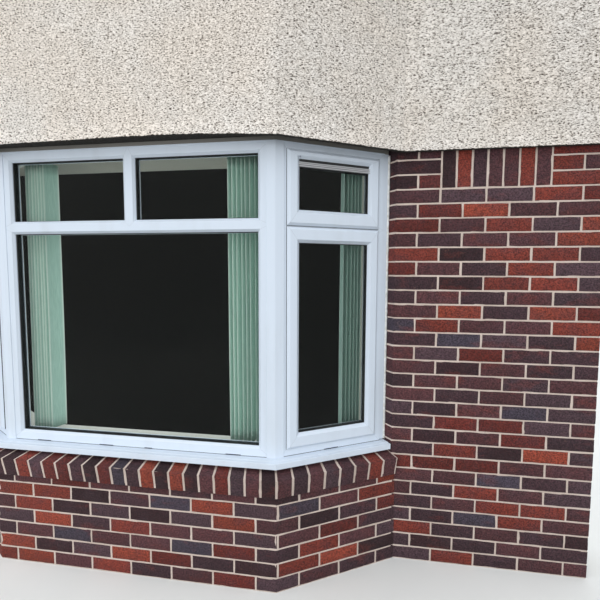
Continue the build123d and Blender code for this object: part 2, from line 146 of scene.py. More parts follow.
class Paint(Nodes):
    """A procedural material on object coordinates."""

    def __init__(self, name, **sockets):
        self.material = bpy.data.materials.new(name)
        super().__init__(self.material)
        self.shader = self.node("BsdfPrincipled", **sockets)
        self.node("OutputMaterial", Surface=self.shader.outputs[0])
        self.place = self.node("TexCoord").outputs["Object"]
        self.relief = None

    def noise(self, scale, detail=3.0, roughness=0.55, distortion=0.0):
        """Noise at one scale, or at one for each axis for grain with a direction."""
        place = self.place
        if isinstance(scale, tuple):
            place = self.node("Mapping", Vector=place, Scale=scale).outputs[0]
            scale = 1.0
        return self.node(
            "TexNoise", Vector=place, Scale=scale, Detail=detail, Roughness=roughness, Distortion=distortion
        ).outputs["Fac"]

    def patches(self, scale, low, high, to_low=0.0, to_high=1.0, detail=3.0):
        return self.ramp(self.noise(scale, detail), low, high, to_low, to_high)

    def cells(self, scale):
        return self.node("TexVoronoi", Vector=self.place, Scale=scale).outputs["Distance"]

    def mix(self, share, first, second, blend="MIX"):
        made = self.node("Mix", {"data_type": "RGBA", "blend_type": blend})
        for socket, value in ((0, share), (6, first), (7, second)):
            self.put(made.inputs[socket], value)
        return made.outputs[2]

    def attribute(self, name):
        return self.node("Attribute", {"attribute_name": name}).outputs

    def colour(self, value):
        self.tone = value
        self.put(self.shader.inputs["Base Color"], value)

    def over(self, share, colour, blend="MIX"):
        """Lay a colour over what is there, by a share of 0 to 1."""
        self.colour(self.mix(share, self.tone, colour, blend))

    def roughness(self, value):
        self.put(self.shader.inputs["Roughness"], value)

    def bump(self, height, distance, strength=1.0):
        """Relief, on top of any given before."""
        made = self.node("Bump", Height=height, Distance=distance, Strength=strength)
        if self.relief is not None:
            self.put(made.inputs["Normal"], self.relief)
        self.relief = made.outputs[0]
        self.put(self.shader.inputs["Normal"], self.relief)


def brick_paint():
    """Dragged-face brick: colour by brick, speckled, with painted shade in its pits and along its edges."""
    paint = Paint("brick", Roughness=0.85)
    paint.colour(paint.attribute("tint")["Color"])
    paint.over(paint.patches(11.0, 0.40, 0.70, 0.0, 0.34, 4.0), rgb(66, 49, 57))
    paint.over(paint.patches((7.0, 7.0, 15.4), 0.54, 0.72, 0.0, 0.30), rgb(116, 51, 42))
    grain = paint.noise((125.0, 125.0, 150.0), 3.0, 0.72)
    flecks = paint.ramp(grain, 0.31, 0.69, 0.32, 1.54)
    paint.over(1.0, paint.node("CombineColor", Red=flecks, Green=flecks, Blue=flecks).outputs[0], "MULTIPLY")
    # Painted shade: the pits, sunk by the bump below, are also darkened in colour
    pits = paint.ramp(paint.cells(120.0), 0.10, 0.32)
    paint.over(paint.times(paint.math("SUBTRACT", 1.0, pits), 0.6), rgb(30, 22, 26))
    paint.over(paint.patches(60.0, 0.62, 0.80, 0.0, 0.22), rgb(150, 118, 106))
    # Painted shade along the rounded edges of each brick
    paint.over(paint.times(paint.attribute("edge")["Fac"], 0.5), rgb(44, 32, 36))
    paint.bump(paint.noise(70.0, 4.0), 0.004, 0.8)
    paint.bump(paint.math("ADD", grain, paint.times(pits, 0.7)), 0.0022, 0.8)
    paint.roughness(paint.patches(150.0, 0.3, 0.7, 0.72, 0.95))
    return paint.material


def mortar_paint():
    """Cream sand mortar, struck flush, sandy and a little stained, with painted shade in its small holes."""
    paint = Paint("mortar", Roughness=0.95)
    paint.colour(rgb(211, 192, 182))
    paint.over(paint.patches(7.0, 0.35, 0.7, detail=4.0), rgb(189, 169, 158))
    grit = paint.patches(650.0, 0.3, 0.7, detail=2.0)
    paint.over(paint.times(grit, 0.4), rgb(241, 228, 213))
    # Painted shade: the small holes, sunk by the bump below, are also darkened in colour
    holes = paint.ramp(paint.cells(330.0), 0.04, 0.16)
    paint.over(paint.times(paint.math("SUBTRACT", 1.0, holes), 0.35), rgb(138, 120, 102))
    paint.bump(paint.noise(70.0, 4.0), 0.003, 0.7)
    paint.bump(paint.math("ADD", grit, holes), 0.0008, 0.8)
    return paint.material


def roughcast_paint():
    """Cream roughcast: pale lumps under a lime coat, with painted shade down their flanks, in the short dark clefts
    between them and in the hollows of the relief.
    """
    paint = Paint("roughcast", Roughness=0.95)
    paint.colour(rgb(255, 248, 240))
    paint.over(paint.patches(2.2, 0.35, 0.7, detail=5.0), rgb(253, 242, 230))
    lumps = paint.noise((96.0, 96.0, 185.0), 1.6, 0.5, 0.3)
    # Painted shade down the flanks of the lumps, in the clefts under them and in the low places of the thrown stones
    # (edge holds their height)
    paint.over(paint.ramp(lumps, 0.38, 0.54, 0.46, 0.0), rgb(176, 162, 147))
    cleft_shade = paint.ramp(lumps, 0.30, 0.43, 1.0, 0.0)
    sunk = paint.ramp(paint.attribute("edge")["Fac"], 0.0, 0.22, 0.22, 0.0)
    paint.over(paint.larger(cleft_shade, sunk), rgb(74, 62, 53))
    paint.over(paint.patches((26.0, 26.0, 1.6), 0.52, 0.78, 0.0, 0.12), rgb(162, 150, 130))
    # The tint carries the painted shade under the drip and on the soffit
    paint.over(1.0, paint.attribute("tint")["Color"], "MULTIPLY")
    paint.bump(paint.ramp(lumps, 0.30, 0.66), 0.005)
    paint.bump(paint.noise(420.0), 0.0014, 0.8)
    return paint.material


def plastic_paint(name, colour, shade, roughness=0.34):
    """Satin window plastic with a trace of weather in it, greyer along its welds."""
    paint = Paint(name, Roughness=roughness)
    paint.colour(colour)
    paint.over(paint.patches((9.0, 9.0, 1.4), 0.45, 0.8, 0.0, 0.32, 4.0), shade)
    paint.over(paint.ramp(paint.cells(90.0), 0.02, 0.07, 0.25, 0.0), shade)
    paint.over(paint.times(paint.attribute("edge")["Fac"], 0.55), rgb(128, 132, 138))
    paint.roughness(paint.patches(40.0, 0.3, 0.75, roughness - 0.05, roughness + 0.14))
    paint.bump(paint.noise(6.0, 2.0), 0.0012, 0.12)
    return paint.material


def plain_paint(name, colour, shade, scale, roughness, grain, distance):
    """Two tones mixed by noise, with a fine grain in relief."""
    paint = Paint(name, Roughness=roughness)
    paint.colour(colour)
    paint.over(paint.patches(scale, 0.3, 0.72, detail=4.0), shade)
    paint.bump(paint.noise(grain), distance, 0.6)
    return paint.material


def glass_paint():
    """Clear float glass with a faint green cast and a little dust."""
    paint = Paint("glass", Roughness=0.0, Transmission_Weight=1.0, IOR=1.065)
    paint.colour((0.95, 0.975, 0.96, 1.0))
    paint.over(paint.patches(5.0, 0.5, 0.85, 0.0, 0.03, 5.0), (0.75, 0.76, 0.74, 1.0))
    paint.bump(paint.noise(2.5, 1.0), 0.0012, 0.05)
    return paint.material


def fabric_paint():
    """Sage cloth of the vanes: a close weave with slubs along it, paler at its hems, partly their own tone and partly
    a painted highlight on their lit edges.
    """
    paint = Paint("blind_cloth", Roughness=0.8, Sheen_Weight=0.15)
    paint.colour(rgb(174, 209, 198))
    paint.over(paint.patches((260.0, 260.0, 16.0), 0.3, 0.7), rgb(154, 190, 178))
    threads = paint.noise((1500.0, 1500.0, 300.0), 2.0)
    paint.over(paint.ramp(threads, 0.4, 0.65, 0.0, 0.3), rgb(198, 216, 204))
    # Partly painted highlight: the hems are paler, as the lit edges of the vanes
    paint.over(paint.times(paint.attribute("edge")["Fac"], 0.75), rgb(232, 240, 232))
    paint.over(1.0, paint.attribute("tint")["Color"], "MULTIPLY")
    paint.bump(threads, 0.0004, 0.6)
    return paint.material


BRICK = brick_paint()
MORTAR = mortar_paint()
ROUGHCAST = roughcast_paint()
WHITE = plastic_paint("window_plastic", rgb(211, 221, 233), rgb(188, 195, 201))
VENT = plastic_paint("vent_plastic", rgb(192, 192, 194), rgb(168, 167, 168), 0.45)
HANDLE = plastic_paint("handle_coat", rgb(236, 238, 240), rgb(216, 216, 212), 0.25)
GASKET = plain_paint("gasket_rubber", rgb(17, 18, 19), rgb(27, 28, 29), 60.0, 0.6, 500.0, 0.0003)
SPACER = plain_paint("spacer_bar", rgb(34, 36, 39), rgb(24, 26, 28), 30.0, 0.45, 300.0, 0.0002)
# Painted shade: the head extension's white plastic is coloured grey-brown, as the shade under the drip
HEAD_TRIM_SHADED = plastic_paint("head_trim_painted_shade", rgb(148, 145, 140), rgb(122, 118, 112), 0.5)
SLOT = plain_paint("slot_shade", rgb(40, 52, 70), rgb(32, 42, 56), 30.0, 0.5, 300.0, 0.0002)
CAP = plastic_paint("cap_plastic", rgb(138, 146, 160), rgb(120, 126, 138))
GLASS = glass_paint()
SEALANT = plain_paint("silicone", rgb(236, 238, 238), rgb(206, 206, 200), 45.0, 0.5, 160.0, 0.0008)
CLOTH = fabric_paint()
RAIL = plain_paint("rail_coat", rgb(232, 232, 228), rgb(220, 220, 214), 12.0, 0.35, 400.0, 0.0001)
# Painted shade: the white window board is painted a little darker, as the shade of the unlit room side
BOARD_SHADED = plain_paint("board_painted_shade", rgb(214, 213, 207), rgb(203, 201, 193), 4.0, 0.4, 90.0, 0.0004)
PLASTER = plain_paint("plaster_paint", rgb(231, 228, 218), rgb(225, 221, 210), 2.2, 0.85, 260.0, 0.0006)
# Painted shade: the ceiling's plaster is painted darker than PLASTER, as the shade of the unlit room side
CEILING_SHADED = plain_paint("ceiling_painted_shade", rgb(205, 202, 193), rgb(197, 193, 183), 2.2, 0.85, 260.0, 0.0006)
BLOCK = plain_paint("block_leaf", rgb(150, 150, 147), rgb(124, 124, 122), 35.0, 0.95, 180.0, 0.003)
FOAM = plain_paint("cavity_board", rgb(222, 205, 160), rgb(204, 184, 136), 20.0, 0.9, 140.0, 0.002)

# Brick colours, and how often each comes
BRICK_TINTS = np.array([
    rgb(92, 57, 61), rgb(86, 66, 74), rgb(72, 50, 57), rgb(56, 33, 38),
    rgb(138, 62, 50), rgb(110, 46, 39), rgb(152, 71, 53), rgb(76, 70, 84),
])
BRICK_SHARES = np.array([0.24, 0.12, 0.20, 0.10, 0.14, 0.09, 0.08, 0.04])


# ------------------------------------------------------------------ shapes
def flatten(piece):
    """Keep broad faces flat to the light, and turn it only over their rounded edges."""
    weighted = piece.modifiers.new("weighted", "WEIGHTED_NORMAL")
    weighted.mode = "FACE_AREA"
    weighted.weight = 100
    weighted.keep_sharp = True


class Shape:
    """Points and faces gathered for one piece."""

    def __init__(self):
        self.points, self.tints, self.edges, self.faces, self.slots = [], [], [], [], []
        self.count = 0

    def add(self, points, faces, tint=(1, 1, 1, 1), edge=0.0, slot=0):
        points = np.asarray(points, float).reshape(-1, 3)
        self.points.append(points)
        self.tints.append(np.broadcast_to(np.asarray(tint, float), (len(points), 4)))
        self.edges.append(np.broadcast_to(np.asarray(edge, float), (len(points),)))
        faces = [tuple(int(i) + self.count for i in face) for face in faces]
        self.faces += faces
        self.slots += [slot] * len(faces)
        self.count += len(points)

    def build(
        self, name, materials, nodes, slot_name="frame_plastic", mirror=False, smooth=35.0, tidy=True, crisp=False
    ):
        points = np.concatenate(self.points)
        faces = self.faces
        if mirror:
            points = points * (-1, 1, 1)
            faces = [face[::-1] for face in faces]
        mesh = bpy.data.meshes.new(name)
        mesh.from_pydata(points.tolist(), [], faces)
        tints = mesh.attributes.new("tint", "FLOAT_COLOR", "POINT")
        tints.data.foreach_set("color", np.concatenate(self.tints).ravel())
        edges = mesh.attributes.new("edge", "FLOAT", "POINT")
        edges.data.foreach_set("value", np.concatenate(self.edges).ravel())
        mesh.polygons.foreach_set("material_index", self.slots)
        for material in materials:
            mesh.materials.append(material)
        if tidy:
            work = bmesh.new()
            work.from_mesh(mesh)
            bmesh.ops.recalc_face_normals(work, faces=work.faces)
            work.to_mesh(mesh)
            work.free()
        mesh.shade_smooth()
        if smooth < 180:
            mesh.set_sharp_from_angle(angle=math.radians(smooth))
        mesh.update()
        piece = bpy.data.objects.new(name, mesh)
        bpy.context.scene.collection.objects.link(piece)
        if crisp:
            flatten(piece)
        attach(piece, "root")
        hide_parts(*nodes)
        return piece

    def build_pair(self, name, materials, node, slot_name="frame_plastic", **options):
        """The same piece on the right and, mirrored, on the left."""
        return [
            self.build(f"{side}_{name}", materials, [node.format(side)], slot_name, mirror, **options)
            for side, mirror in SIDES
        ]


class Plan:
    """Wall faces in plan: distance along them, out of them, and up."""

    def __init__(self, corners, ends=(None, None)):
        self.corners = np.array(corners, float)
        steps = np.diff(self.corners, axis=0)
        self.lengths = np.hypot(steps[:, 0], steps[:, 1])
        self.marks = np.concatenate([[0.0], np.cumsum(self.lengths)])
        ways = steps / self.lengths[:, None]
        outs = np.stack([ways[:, 1], -ways[:, 0]], axis=1)
        mitres = [outs[0] if ends[0] is None else np.array(ends[0])]
        for first, second in zip(outs[:-1], outs[1:]):
            mitres.append((first + second) / (1 + first @ second))
        mitres.append(outs[-1] if ends[1] is None else np.array(ends[1]))
        self.mitres = np.array(mitres)

    def __call__(self, along, out, level):
        along, out, level = np.broadcast_arrays(
            np.asarray(along, float), np.asarray(out, float), np.asarray(level, float)
        )
        part = np.searchsorted(self.marks, along, side="right") - 1
        part = np.clip(part, 0, len(self.lengths) - 1)
        share = (along - self.marks[part]) / self.lengths[part]
        start = self.corners[part] + self.mitres[part] * out[..., None]
        stop = self.corners[part + 1] + self.mitres[part + 1] * out[..., None]
        plan = start + (stop - start) * share[..., None]
        return np.concatenate([plan, level[..., None]], axis=-1)


def face_place(origin, way, out_way):
    """World points on a face of the bay: along it, out of it, and up from the frame base."""

    def place(along, out, level):
        along, out, level = np.broadcast_arrays(along, out, level)
        plan = origin + along[..., None] * way + out[..., None] * out_way
        return np.concatenate([plan, level[..., None] + FRAME_BASE], axis=-1)

    return place


front_place = face_place(np.array([0.0, FRONT_Y]), np.array([1.0, 0.0]), np.array([0.0, -1.0]))
splay_place = face_place(CORNER, SPLAY_ALONG, SPLAY_OUT)


def quads_between(index):
    """The quads between neighbours in a grid of point numbers."""
    return np.stack([index[:-1, :-1], index[1:, :-1], index[1:, 1:], index[:-1, 1:]], axis=-1).reshape(-1, 4)


@lru_cache(maxsize=None)
def lattice(counts):
    """Surface points and quads of a box of grid points."""
    index = np.arange(counts[0] * counts[1] * counts[2]).reshape(counts)
    quads = []
    for axis in range(3):
        for end in (0, -1):
            side = quads_between(np.take(index, end, axis=axis))
            quads.append(side[:, ::-1] if (end == 0) == (axis != 1) else side)
    used, renumbered = np.unique(np.concatenate(quads), return_inverse=True)
    return used, renumbered.reshape(-1, 4)


# Rounded edge of a brick, depth of its wear, and the head joint beside it
EDGE, WEAR, GAP = 0.003, 0.0005, 0.0082
# How far a brick is modelled behind its face, and through the leaf at an end
BRICK_BACK, LEAF_BACK = 0.022, 0.101


def ticks(low, high, step, breaks=()):
    """Places along one side of a block: close to both ends, and even steps."""
    count = max(1, int(round((high - low - 2 * EDGE) / step)))
    places = list(np.linspace(low + EDGE, high - EDGE, count + 1))
    for mark in breaks:
        if low + 2 * EDGE < mark < high - 2 * EDGE:
            places = [p for p in places if abs(p - mark) > step * 0.3 or p in (places[0], places[-1])]
            places += [mark - EDGE / 2, mark, mark + EDGE / 2]
    return np.array([low] + sorted(places) + [high])


def block(shape, place, low, high, tint, steps=(0.045, 0.05, 0.032), breaks=()):
    """A worn block between two corners (along, out, up), its edges rounded."""
    axes = [ticks(low[k], high[k], steps[k], () if k else breaks) for k in range(3)]
    counts = tuple(len(a) for a in axes)
    used, quads = lattice(counts)
    grid = np.stack(np.meshgrid(*axes, indexing="ij"), axis=-1).reshape(-1, 3)[used]
    where = np.stack(np.unravel_index(used, counts), axis=-1)
    extreme = np.where(where == 0, 1.0, np.where(where == np.array(counts) - 1, -1.0, 0.0))
    sides = np.abs(extreme).sum(axis=1)
    pull = np.where(sides == 2, 0.3, np.where(sides == 3, 0.42, 0.0)) * EDGE
    wobble = rng.normal(0.0, WEAR, grid.shape)
    wobble[:, 1] = -np.abs(wobble[:, 1]) * 0.6
    chips = (sides >= 2) & (rng.random(len(grid)) < 0.05)
    wobble[chips] += extreme[chips] * rng.uniform(0.0006, 0.0028, (int(chips.sum()), 1))
    grid = grid + extreme * pull[:, None] + wobble
    shape.add(place(*grid.T), quads, tint, np.where(sides >= 2, 1.0, 0.0))


def brick_tint():
    tint = BRICK_TINTS[rng.choice(len(BRICK_TINTS), p=BRICK_SHARES / BRICK_SHARES.sum())].copy()
    tint[:3] *= rng.uniform(0.60, 0.94) * np.array([1.0, 0.92, 0.90])
    return tint


def lay_course(shape, place, joints, low, high, breaks=(), leaf_end=None):
    """One course of bricks between joint centres, each a little different."""
    for start, stop in zip(joints[:-1], joints[1:]):
        if stop - start < 0.03:
            continue
        back = LEAF_BACK if stop == leaf_end else BRICK_BACK
        inset = rng.uniform(0.0, 0.0012)
        low_corner = (start + GAP / 2 + rng.uniform(-0.0008, 0.0008), -back, low + rng.uniform(-0.0006, 0.0006))
        high_corner = (stop - GAP / 2 + rng.uniform(-0.0008, 0.0008), -inset, high + rng.uniform(-0.0006, 0.0006))
        block(shape, place, low_corner, high_corner, brick_tint(), breaks=breaks)


def rounded(points, radii, steps=3):
    """A closed outline with an arc at each corner that has a radius."""
    points = np.asarray(points, float)
    result = []
    for i, (point, radius) in enumerate(zip(points, np.broadcast_to(radii, len(points)))):
        before = points[i - 1] - point
        after = points[(i + 1) % len(points)] - point
        len_before, len_after = np.linalg.norm(before), np.linalg.norm(after)
        cosine = np.clip(before @ after / (len_before * len_after), -1, 1)
        half = math.acos(cosine) / 2
        if radius <= 0 or half > math.radians(87):
            result.append(point)
            continue
        cut = min(radius / math.tan(half), 0.45 * len_before, 0.45 * len_after)
        first, last = point + before / len_before * cut, point + after / len_after * cut
        for k in range(steps + 1):
            t = k / steps
            result.append((1 - t) ** 2 * first + 2 * t * (1 - t) * point + t**2 * last)
    return np.array(result)


def loft(shape, sections, closed=False, slot=0, tint=(1, 1, 1, 1), edge=0.0):
    """Skin closed outlines one after another, capped at both ends if open."""
    sections = np.asarray(sections, float)
    rows, columns = sections.shape[:2]
    faces = []
    for row in range(rows if closed else rows - 1):
        after = (row + 1) % rows
        for column in range(columns):
            right = (column + 1) % columns
            faces.append(
                (row * columns + column, row * columns + right, after * columns + right, after * columns + column)
            )
    if not closed:
        faces.append(tuple(range(columns))[::-1])
        faces.append(tuple((rows - 1) * columns + c for c in range(columns)))
    shape.add(sections.reshape(-1, 3), faces, tint, edge, slot)


def grown(light, margin):
    """A rectangle (left, right, foot, head) made larger on all sides."""
    left, right, foot, head = light
    return (left - margin, right + margin, foot - margin, head + margin)


# Half the width of a weld, and an offset that marks profile points of the outer edge
WELD, SPAN = 0.0011, 0.5


def ring(shape, place, inner, outer, profile, radius=0.0012, groove=0.0004):
    """Run a profile round a rectangular light, mitred and welded at its corners.

    Profile points are (side, inset, out): side 0 counts outwards from the
    inner edge, side 1 inwards from the outer edge.
    """
    flat = np.array([(SPAN - inset if side else inset, out) for side, inset, out in profile])
    curved = rounded(flat, radius, 2)
    ways = ((1, 0), (0, 1), (-1, 0), (0, -1))
    sections = []
    for corner in range(4):
        for part in (-1, 0, 1):
            way = ways[corner - (part < 0)]
            section = []
            for across, out in curved:
                edges = grown(inner, across) if across < SPAN / 2 else grown(outer, across - SPAN)
                if part == 0:
                    out -= groove if out > profile[0][2] - 0.02 else -groove
                x, y = edges[(0, 1, 1, 0)[corner]], edges[(2, 2, 3, 3)[corner]]
                section.append((x + way[0] * part * WELD, out, y + way[1] * part * WELD))
            sections.append(section)
    welds = np.tile(np.repeat([0.0, 1.0, 0.0], len(curved)), 4) if groove else 0.0
    loft(shape, place(*np.moveaxis(np.array(sections), -1, 0)), closed=True, edge=welds)


def run(shape, place, profile, start, stop, radius=0.001, slot=0):
    """Run a profile of (out, up) points between two cuts, functions of out."""
    outline = rounded(profile, radius)
    sections = [place(np.array([end(out) for out in outline[:, 0]]), *outline.T) for end in (start, stop)]
    loft(shape, sections, slot=slot)


def cut(along, shift=0.0):
    """A cut through a run: its place along, and how far that moves with the distance out."""
    return lambda out: along + out * shift


def prism(shape, outline, low, high, radius=0.0, slot=0):
    """An upright block on a plan outline, its upright edges rounded."""
    plan = rounded(outline, radius) if radius else np.asarray(outline, float)
    sections = [np.column_stack([plan, np.full(len(plan), level)]) for level in (low, high)]
    loft(shape, sections, slot=slot)


def line_cut(point, direction):
    """Cut of the right splay by an upright plane: the place along it for a distance out."""
    normal = np.array([direction[1], -direction[0]])
    base = (np.asarray(point) - CORNER) @ normal
    return lambda out: (base - out * (SPLAY_OUT @ normal)) / (SPLAY_ALONG @ normal)


corner_cut_front = cut(HALF_FRONT, MITRE)
corner_cut_front_left = cut(-HALF_FRONT, -MITRE)
corner_cut_splay = cut(0.0, -MITRE)
reveal_cut = line_cut(ARRIS, REVEAL_LINE)
extender_cut = line_cut(ARRIS - REVEAL_NORMAL * 0.008, REVEAL_LINE)


def up_from_base(levels):
    """Profile heights above the ground turned into heights above the frame base."""
    return [(out, level - FRAME_BASE) for out, level in levels]


# ------------------------------------------------------------- brick walls
MEET_X = 1.37647
meet = np.array([MEET_X, WALL_Y])
plinth_corner = np.array([HALF_FRONT + PLINTH_PROUD * MITRE, FRONT_Y - PLINTH_PROUD])
across = np.array([-1, 1])
bay_line = Plan([meet * across, plinth_corner * across, plinth_corner, meet])
COURSE, STRETCHER = 0.075, 0.225
# Half a bed joint, and how far mortar lies behind the bricks' faces
BED, MORTAR_BACK = 0.0035, 0.0022
# Depths in the house wall: back of the brick leaf, of the cavity and of the blocks
LEAF, CAVITY, BLOCKS = 0.1025, 0.1625, 0.2625
SKIM = WALL_THICK - BLOCKS
# How far the bricks turn into the reveal, and a panel of soldiers over three courses
TURN = 0.11
PANEL = (TURN + 0.2225, TURN + 0.7475)
WALL_COURSES, PANEL_COURSE = 30, 27

house_line = Plan([ARRIS + REVEAL_LINE * TURN, ARRIS, (OUTER_X, WALL_Y)])
end = house_line.marks[-1]
last = end + 0.002
for side, mirror in SIDES:
    wall = Shape()
    for course in range(WALL_COURSES):
        low, high = course * COURSE + BED, (course + 1) * COURSE - BED
        first = 0.220 if course % 2 == 0 else 0.1075
        joints = [TURN + first + STRETCHER * k for k in range(5)]
        joints = [-0.005] + [j for j in joints if j < end - 0.03] + [last]
        if course < PANEL_COURSE:
            lay_course(wall, house_line, joints, low, high, breaks=(TURN,), leaf_end=last)
            continue
        left = [-0.005] + ([TURN + 0.1075] if course % 2 else []) + [PANEL[0]]
        right = [PANEL[1]] + [j for j in joints if j > PANEL[1] + 0.06]
        lay_course(wall, house_line, left, low, high, breaks=(TURN,))
        lay_course(wall, house_line, right, low, high, leaf_end=last)
        if course == PANEL_COURSE:
            soldiers = [PANEL[0] + COURSE * k for k in range(8)]
            lay_course(wall, house_line, soldiers, low, WALL_HEAD - 0.005)
    wall.build(side + "_wall_bricks", [BRICK], [side + "_wall"], "brick", mirror)


def wall_at(depth, x):
    return (x, WALL_Y + depth)


def reveal_at(depth):
    """Where the canted reveal, less its plaster, meets a depth in the wall."""
    return wall_at(depth, HALF_OPENING + REVEAL_LINE[0] / REVEAL_LINE[1] * depth + SKIM / REVEAL_NORMAL[0])


core = Shape()
MORTAR_END = OUTER_X - 0.0048
reveal_end = ARRIS + REVEAL_LINE * 0.12
mortar_line = Plan([reveal_end, ARRIS, (MORTAR_END, WALL_Y)])
mortar_face = [tuple(mortar_line(s, -MORTAR_BACK, 0.0)[:2]) for s in mortar_line.marks]
prism(core, mortar_face + [wall_at(LEAF, MORTAR_END), reveal_at(LEAF)], 0.0, WALL_HEAD)
for slot, near, far, stop, top, radius in (
    (1, LEAF, CAVITY, OUTER_X - 0.012, WALL_HEAD - 0.002, 0.0),
    (2, CAVITY, BLOCKS, OUTER_X, WALL_HEAD, 0.002),
):
    layer = [reveal_at(near), wall_at(near, stop), wall_at(far, stop), reveal_at(far)]
    prism(core, layer, 0.0, top, radius, slot=slot)
skim = [
    tuple(reveal_end), wall_at(WALL_THICK, HALF_OPENING - WALL_THICK * REVEAL_RUN / REVEAL_DEPTH),
    wall_at(WALL_THICK, OUTER_X), wall_at(BLOCKS, OUTER_X), reveal_at(BLOCKS),
    tuple(reveal_end + REVEAL_NORMAL * SKIM),
]
prism(core, skim, 0.0, WALL_HEAD, 0.002, slot=3)
core.build_pair("wall_core", [MORTAR, FOAM, BLOCK, PLASTER], "{}_wall", "brick")

# Dwarf wall under the bay
PLINTHS = ["front_plinth", "left_plinth", "right_plinth"]
PLINTH_HEAD = 0.5125
plinth = Shape()
total = bay_line.marks[-1]
for course in range(7):
    low, high = course * COURSE + BED, min((course + 1) * COURSE - BED, PLINTH_HEAD)
    shift = 0.0 if course % 2 == 0 else STRETCHER / 2
    joints = [total / 2 + shift + STRETCHER * k for k in range(-8, 9)]
    joints = [j for j in joints if 0.05 < j < total - 0.05]
    if high - low > 0.02:
        lay_course(plinth, bay_line, [0.0] + joints + [total], low, high, breaks=tuple(bay_line.marks[1:3]))
plinth.build("plinth_bricks", [BRICK], PLINTHS, "brick")

SLOPE = math.radians(10)
SILL_LENGTH, SILL_DEEP, SILL_NOSE = 0.215, 0.1025, 0.107
foot_back = (
    SILL_NOSE - SILL_LENGTH * math.cos(SLOPE) - SILL_DEEP * math.sin(SLOPE), SILL_TOP - SILL_DEEP * math.cos(SLOPE)
)


def core_run(shape, profile, slot):
    """Run a profile round all three faces of the bay, mitred at its corners."""
    profile = up_from_base(profile)
    run(shape, front_place, profile, corner_cut_front_left, corner_cut_front, 0.0, slot)
    for sign in (1, -1):
        part = Shape()
        run(part, splay_place, profile, corner_cut_splay, reveal_cut, 0.0)
        faces = part.faces if sign == 1 else [face[::-1] for face in part.faces]
        shape.add(part.points[0] * (sign, 1, 1), faces, slot=slot)


def bed_level(out):
    """Height of the underside of the sloping sill bricks."""
    return foot_back[1] - (out - foot_back[0]) * math.tan(SLOPE)


plinth_core = Shape()
fronts = [PLINTH_PROUD - depth for depth in (MORTAR_BACK, LEAF, CAVITY, BLOCKS, WALL_THICK)]
tops = (None, SILL_TOP - 0.003, SILL_TOP, SILL_TOP)
for slot, (outer, inner, top) in enumerate(zip(fronts[:-1], fronts[1:], tops)):
    heads = (top, top) if top else (bed_level(outer), bed_level(inner))
    core_run(plinth_core, [(outer, 0), (outer, heads[0]), (inner, heads[1]), (inner, 0)], slot)
plinth_core.build("plinth_core", [MORTAR, FOAM, BLOCK, PLASTER], PLINTHS, "brick")


# Brick-on-edge sill, sloping outwards
def sloped(line):
    """Places on the sloping sill: along, up the slope from its nose, and up off it."""

    def place(along, inward, lift):
        out = SILL_NOSE - inward * math.cos(SLOPE) + lift * math.sin(SLOPE)
        level = SILL_TOP - (SILL_LENGTH - inward) * math.sin(SLOPE) + lift * math.cos(SLOPE)
        return line(along, out, level)

    return place


front_line = Plan([CORNER * across, CORNER], [(-MITRE, -1), (MITRE, -1)])
reveal_point = CORNER + SPLAY_ALONG * reveal_cut(0.0)
corner_mitre = SPLAY_OUT - SPLAY_ALONG * MITRE
reveal_mitre = -REVEAL_LINE / (-REVEAL_LINE @ SPLAY_OUT)
splay_line = Plan([CORNER, reveal_point], [corner_mitre, reveal_mitre])
splay_line_left = Plan([reveal_point * across, CORNER * across], [reveal_mitre * across, corner_mitre * across])

# The end bricks are cut to the mitre, and the mortar lies just below the faces
SUNK = 0.0025
inward = np.array([SUNK, SILL_LENGTH, SILL_LENGTH, SUNK])
lifts = np.array([-SUNK, -SUNK, -SILL_DEEP + SUNK, -SILL_DEEP + SUNK])
for name, line, count in (
    ("front_brick_sill", front_line, 20),
    ("right_brick_sill", splay_line, 8),
    ("left_brick_sill", splay_line_left, 8),
):
    place, pitch = sloped(line), line.marks[-1] / count
    sill, joints = Shape(), Shape()
    for k in range(count):
        lift = rng.uniform(-0.0012, 0.0)
        low_corner = (k * pitch + 0.005 + rng.uniform(-0.0006, 0.0006), -SILL_LENGTH, -SILL_DEEP)
        high_corner = ((k + 1) * pitch - 0.005, -rng.uniform(0.0, 0.001), lift)
        block(sill, lambda a, w, u: place(a, -w, u), low_corner, high_corner, brick_tint(), (0.03, 0.045, 0.035))
    loft(joints, [place(along, inward, lifts) for along in (0.0, line.marks[-1])])
    sill.build(name + "_bricks", [BRICK], [name], "brick")
    joints.build(name + "_joints", [MORTAR], [name], "brick")


# -------------------------------------------------------- roughcast render
def scatter(i, j, seed):
    value = np.sin(i * 127.1 + j * 311.7 + seed * 74.7) * 43758.5453
    return value - np.floor(value)


def stones(u, v, size, seed):
    """Height, 0 to 1, of rounded stones thrown on a face, low between them."""
    column, row = np.floor(u / size), np.floor(v / size)
    near = np.full(np.broadcast(u, v).shape, 9.0)
    second = near.copy()
    crown = np.zeros_like(near)
    for i in (-1, 0, 1):
        for j in (-1, 0, 1):
            a, b = column + i, row + j
            x = (a + 0.5 + 0.9 * (scatter(a, b, seed) - 0.5)) * size
            y = (b + 0.5 + 0.9 * (scatter(a, b, seed + 1) - 0.5)) * size
            away = np.hypot(u - x, v - y) / size
            closer = away < near
            second = np.where(closer, near, np.minimum(second, away))
            crown = np.where(closer, 0.55 + 0.45 * scatter(a, b, seed + 3), crown)
            near = np.where(closer, away, near)
    return crown * np.clip((second - near) / 0.42, 0, 1) ** 0.55


RENDER_THICK, FLARE, DROP, BELL = 0.025, 0.018, 0.042, 0.085
DRIP, LIP = WALL_HEAD - DROP, RENDER_THICK + FLARE
DRIP_ROUND = 0.004
BELL_RISE = BELL * 1.6
GRID = 0.0047
STONE_RELIEF = 0.0046
SOFFIT, SOFFIT_BACK = 2.2385, 0.0668
